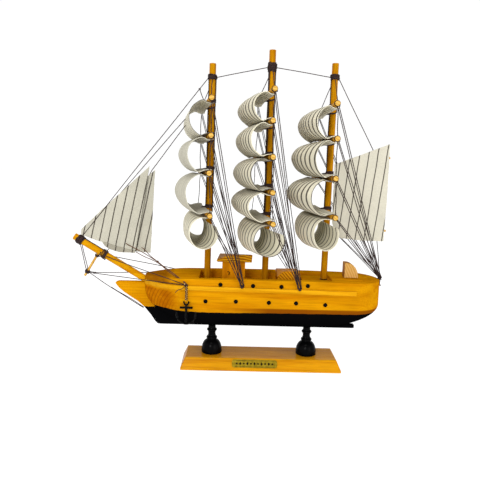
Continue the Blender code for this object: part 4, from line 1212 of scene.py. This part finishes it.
def make_shrouds(black):
    for mast, place_pin in BRACE_PIN.items():
        for side, sign in SIDES.items():
            piece = Piece()
            pin = Vector((place_pin.x, place_pin.y * sign, place_pin.z))
            pin_knots(piece, pin)
            gang(piece, mast, sign, pin)
            piece.make(f"threads_{mast}_{side}", "ship", [black], "rigging_thread",
                       [f"{mast}_rigging_{side}"])
    piece = Piece()
    pin_knots(piece, STERN_PIN, 1.5)
    for sign in SIDES.values():
        gang(piece, "mizzen", sign, STERN_PIN)
    for share in (0.83, 0.2):
        spot = BOOM[0].lerp(BOOM[1], share)
        winding(piece, spot, BOOM[1] - BOOM[0], 1.1 * MM, 3, 1.6 * MM)
        thread(piece, spot - mm(0, 0, 1.5), STERN_PIN)
    thread(piece, STERN_PIN + mm(0, -0.6, 0), Vector((STERN_X + 1.2 * MM, -1.5 * MM, 88.0 * MM)), wave=0.1)
    knot(piece, Vector((STERN_X + 1.4 * MM, -1.5 * MM, 87.8 * MM)), 0.9)
    piece.make("threads_mizzen", "ship", [black], "rigging_thread", ["mizzen_rigging"])


def cross_lashing(piece, mast_spot, mast_radius, yard_spot, yard_radius, slant):
    """A diagonal loop round a mast and the yard in front of it."""
    front, back = yard_spot.x - yard_radius - 0.25 * MM, mast_spot.x + mast_radius + 0.25 * MM
    middle, half = (front + back) / 2, (back - front) / 2
    path = []
    for i in range(48):
        a = 2 * pi * i / 48
        s, c = sin(a), cos(a)
        wide = 3.75 * MM * (abs(s) ** 0.75) * (1 if s > 0 else -1)
        deep = half * (abs(c) ** 0.6) * (1 if c > 0 else -1)
        path.append(Vector((middle + deep, wide, yard_spot.z + slant * wide * 0.95 + 0.3 * MM)))
    tube(piece, path + path[:2], THREAD * 1.05, 5, 0, 0.15)


HALYARDS = {"fore": ((-0.90, -0.45), (0.97, -0.25)),
            "main": ((-0.90, -0.45), (-0.65, -0.77), (0.97, -0.25)),
            "mizzen": ((-0.97, -0.25),)}


def make_lashings(black):
    piece = Piece()
    for mast, count in YARD_COUNT.items():
        for i in range(count):
            radius = YARDS[mast][i][0]
            yard = yard_point(mast, i, 0)
            spot = mast_point(mast, yard.z)
            for slant in (-1.0, -0.8, 0.8, 1.0):
                cross_lashing(piece, spot, MASTS[mast][0], yard, radius, slant)
            above = mast_point(mast, yard.z + 4.2 * MM)
            winding(piece, above, (0, 0.08, 1), MASTS[mast][0], 4.5, 2.6 * MM)
        # halyards run down the mast from its top lashing to the lowest yard
        reach = MASTS[mast][0] + 0.5 * MM
        lowest = mast_point(mast, yard_point(mast, count - 1, 0).z + 6 * MM)
        for x, y in HALYARDS[mast]:
            spot = Vector((x, y, 0)) * reach
            thread(piece, top_of(mast) + spot, top_of(mast).lerp(lowest, 0.5) + spot, lowest + spot,
                   radius=THREAD * 1.2, wave=0.25)
    piece.make("mast_lashings", "ship", [black], "rigging_thread")


# ---------------------------------------------------------------- anchors

def chain_links(piece, top, drop):
    """Brass links, each turned a quarter from the last."""
    count, wire = 6, 0.3 * MM
    pitch = drop / count
    for i in range(count):
        centre = top - Vector((0, 0, pitch * (i + 0.5)))
        flat = Vector((1, 0, 0)) if i % 2 else Vector((0, 1, 0))
        path = []
        for k in range(20):
            a = 2 * pi * k / 20
            path.append(centre + flat * 0.62 * MM * cos(a)
                        + Vector((0, 0, (pitch / 2 + wire * 0.9) * sin(a))))
        tube(piece, path + path[:2], wire, 6)


def make_chain(side, brass, black):
    """The links, and two strands of twine wound down them."""
    top = top_centre(f"anchor_chain_{side}")
    drop = top.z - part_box(f"anchor_chain_{side}")[0].z
    links = Piece()
    chain_links(links, top, drop)
    links.make(f"chain_{side}", f"chain_{side}", [brass], "chain_brass", [f"anchor_chain_{side}"])
    twine = Piece()
    for turn in (0, pi):
        path = [top + mm(1.0, 0, 0) * cos(t * 1.3 + turn) + mm(0, 0.8, 0) * sin(t * 1.3 + turn)
                - Vector((0, 0, drop * t / 16)) for t in range(17)]
        tube(twine, smooth_path(path, 96), 0.36 * MM, 5, 0, 0.2)
    twine.make(f"chain_twine_{side}", f"chain_{side}", [black], "rigging_thread")


def make_anchor(side, iron):
    """Shank, two horns, a stock with knobs, curved arms and their flukes."""
    chain = top_centre(f"anchor_chain_{side}")
    head = Vector((chain.x, chain.y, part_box(f"anchor_{side}")[1].z))

    def at(drop, x=0.0):
        return head + mm(0, 0, -drop) + mm(x, 0, 0)

    piece = Piece()
    dowel(piece, at(3.0), at(22.6), 1.15 * MM, 0.2 * MM, 16)
    for way in (-1, 1):
        horn = smooth_path([at(4.4), at(3.2, way * 1.5), at(1.4, way * 2.3), at(0.4, way * 2.45)], 12)
        tube(piece, horn, 0.95 * MM, 10, taper=0.3)
    dowel(piece, at(6.7, -5.7), at(6.7, 5.7), 1.1 * MM, 0.25 * MM, 16)
    for way in (-1, 1):
        knob = in_mm([(0.2, -0.2), (1.15, 0.1), (1.3, 0.7), (0.9, 1.3)])
        turned(piece, knob, at(6.7, way * 4.9), (way, 0, 0), 16)
    arms = [at(22.9) + mm(x, 0, h) for x, h in arc(0, 10.4, 9.6, 10.4, 186, 354, 27)]
    tube(piece, arms, 0.92 * MM, 12)
    for end, before in ((arms[0], arms[2]), (arms[-1], arms[-3])):
        way = (end - before).normalized()
        inward = Vector((-1 if end.x > head.x else 1, 0, 0))
        tip, heel = end + way * 2.9 * MM, end - way * 2.6 * MM
        outer = [tip, heel - mm(0, 1.5, 0), heel - inward * 0.7 * MM, heel + mm(0, 1.5, 0)]
        inner = [p + inward * 1.5 * MM - way * 0.4 * MM for p in outer]
        piece.grid([outer, inner], [[(0, 0)] * 4, [(0, 1)] * 4], wrap=True, caps=True)
    piece.make(f"anchor_iron_{side}", f"anchor_{side}", [iron], "anchor_iron", [f"anchor_{side}"], angle=45)


# ---------------------------------------------------------------- small things on deck

def make_deck_details(black):
    # the hooked handle on the cabin's side
    hook = ((-35.8, 0.97, 99.9), (-35.6, 1.03, 100.2), (-34.3, 1.04, 100.0), (-33.9, 1.03, 98.6),
            (-34.4, 1.02, 97.6), (-35.0, 1.02, 97.4))
    hooks = Piece()
    for sign in SIDES.values():
        path = smooth_path([mm(x, sign * 11.5 * share, z) for x, share, z in hook], 20)
        tube(hooks, path, 0.36 * MM, 8)
    hooks.make("cabin_hooks", "ship", [black], "stand_posts")
    # painted shade: black lips round the feet of the masts stand in for the shadowed gaps where the masts go
    # into the hull
    foot_shade_rings = Piece()
    for radius, foot, top in MASTS.values():
        lip = [(radius + out * MM, height * MM) for out, height in ((0.35, -0.25), (0.75, 0.05), (0.2, 0.5))]
        turned(foot_shade_rings, lip, foot, (0, 0, 1), 28)
    foot_shade_rings.make("mast_foot_shade_rings", "ship", [black], "stand_posts", angle=40)


def dress(node, mat):
    """Gives a CAD solid that stays as it is its material."""
    obj = nodes[node]
    obj.data.materials.clear()
    obj.data.materials.append(mat)


def main():
    make_camera()
    make_studio()
    hull_paint = painted_hull("hull_paint")
    stand_wood = wood("stand_wood", (0.66, 0.285, 0.004), (0.50, 0.175, 0.002), "X", gloss=0.26, coat=0.04,
                      end=((0.46, 0.17, 0.004), (0.32, 0.10, 0.002)), figure=0.9, offset=(0.3, 0.1, 0.7))
    deck_wood = wood("deck_wood", (0.64, 0.235, 0.002), (0.40, 0.12, 0.001), "Z",
                     end=((0.48, 0.20, 0.01), (0.32, 0.11, 0.004)), offset=(0.9, 0.4, 0.1))
    roof_wood = wood("roof_wood", (0.48, 0.21, 0.002), (0.27, 0.09, 0.001), "Y",
                     end=((0.50, 0.23, 0.006), (0.22, 0.07, 0.002)), offset=(0.2, 0.9, 0.4))
    hatch_wood = wood("hatch_wood", (0.68, 0.27, 0.002), (0.45, 0.15, 0.001), "Y",
                      end=((0.62, 0.27, 0.006), (0.32, 0.10, 0.002)), offset=(0.6, 0.1, 0.4))
    stern_wood = wood("stern_wood", (0.42, 0.18, 0.004), (0.25, 0.08, 0.002), "Y", gloss=0.45,
                      end=((0.62, 0.37, 0.12), (0.52, 0.28, 0.06)), offset=(0.5, 0.2, 0.9))
    keel_wood = painted_keel("keel_paint")
    wale_wood = wood("wale_wood", (0.72, 0.345, 0.006), (0.56, 0.235, 0.002), "X", gloss=0.32,
                     figure=1.3, offset=(0.1, 0.6, 0.3))
    mast_wood = wood("mast_wood", (0.52, 0.225, 0.002), (0.34, 0.115, 0.001), "Z", gloss=0.36,
                     end=END_GRAIN, figure=1.6, offset=(0.7, 0.3, 0.2))
    yard_wood = wood("yard_wood", (0.58, 0.29, 0.020), (0.42, 0.17, 0.006), "Y",
                     end=((0.66, 0.42, 0.10), (0.52, 0.28, 0.05)), figure=1.8, offset=(0.4, 0.8, 0.6))
    sprit_wood = wood("sprit_wood", (0.68, 0.31, 0.002), (0.50, 0.18, 0.001), "X", gloss=0.36,
                      end=END_GRAIN, figure=1.6, offset=(0.6, 0.1, 0.9))
    black = gloss_black("black_gloss")
    thread_black = thread_material("thread_black", (0.065, 0.038, 0.034), (0.012, 0.006, 0.006))
    thread_brown = thread_material("thread_brown", (0.20, 0.085, 0.040), (0.050, 0.020, 0.010))
    fibre = thread_material("loose_fibres", (0.80, 0.78, 0.70), (0.62, 0.60, 0.52))
    brass = metal("brass", (0.86, 0.62, 0.26), (0.45, 0.27, 0.09), 0.28)
    iron = metal("anchor_metal", (0.010, 0.010, 0.010), (0.004, 0.004, 0.004), 0.55, 900)
    gold = metal("plate_gold", (0.25, 0.175, 0.012), (0.15, 0.10, 0.006), 0.42, 350)
    ink = gloss_black("plate_ink")
    cream = (0.80, 0.755, 0.585)
    square_cloths = {"dense": canvas("canvas_dense", 6.0, 2.1, tint=cream),
                     "medium": canvas("canvas_medium", 7.0, 2.5, tint=cream),
                     "wide": canvas("canvas_wide", 7.8, 2.7, tint=cream),
                     "loop": canvas("canvas_loop", 7.8, 2.0, tint=cream),
                     "faint": canvas("canvas_faint", 6.5, 0.7, tint=(0.54, 0.515, 0.415), strength=0.35)}
    jib_cloth = canvas("canvas_jib", 8.6, 1.35, slant=-0.215, tint=(0.49, 0.468, 0.38))
    # painted shade: the hem is the jib cloth with a darker tint, standing for the shade in its fold
    hem_shaded_cloth = canvas("canvas_hem_shaded", 8.6, 1.35, slant=-0.215, tint=(0.335, 0.312, 0.243))
    spanker_cloth = canvas("canvas_spanker", 9.0, 1.25, slant=-0.101)

    for node, paint in (("stand_base", stand_wood), ("nameplate", gold), ("keel_board", keel_wood),
                        ("cabin_body", deck_wood), ("cabin_roof", roof_wood), ("hatch_block", hatch_wood),
                        ("stern_block", stern_wood)):
        dress(node, paint)
    make_hull(hull_paint)
    make_hull_fittings(black, brass)
    for side, sign in SIDES.items():
        batten(side, sign, wale_wood)
    make_posts(black)
    make_plate_ornament(ink)
    make_spars(mast_wood, yard_wood, sprit_wood)

    fibres = Piece()
    make_square_sails(square_cloths, fibres)
    make_fore_and_aft_sails(jib_cloth, hem_shaded_cloth, spanker_cloth, fibres)
    fibres.make("loose_fibres", "ship", [fibre], "square_sails")

    make_topmast_threads(thread_black)
    make_bow_threads(thread_black, thread_brown)
    make_shrouds(thread_black)
    make_lashings(thread_black)
    for side in SIDES:
        make_chain(side, brass, thread_black)
        make_anchor(side, iron)
    make_deck_details(black)


main()
bpy.context.view_layer.update()
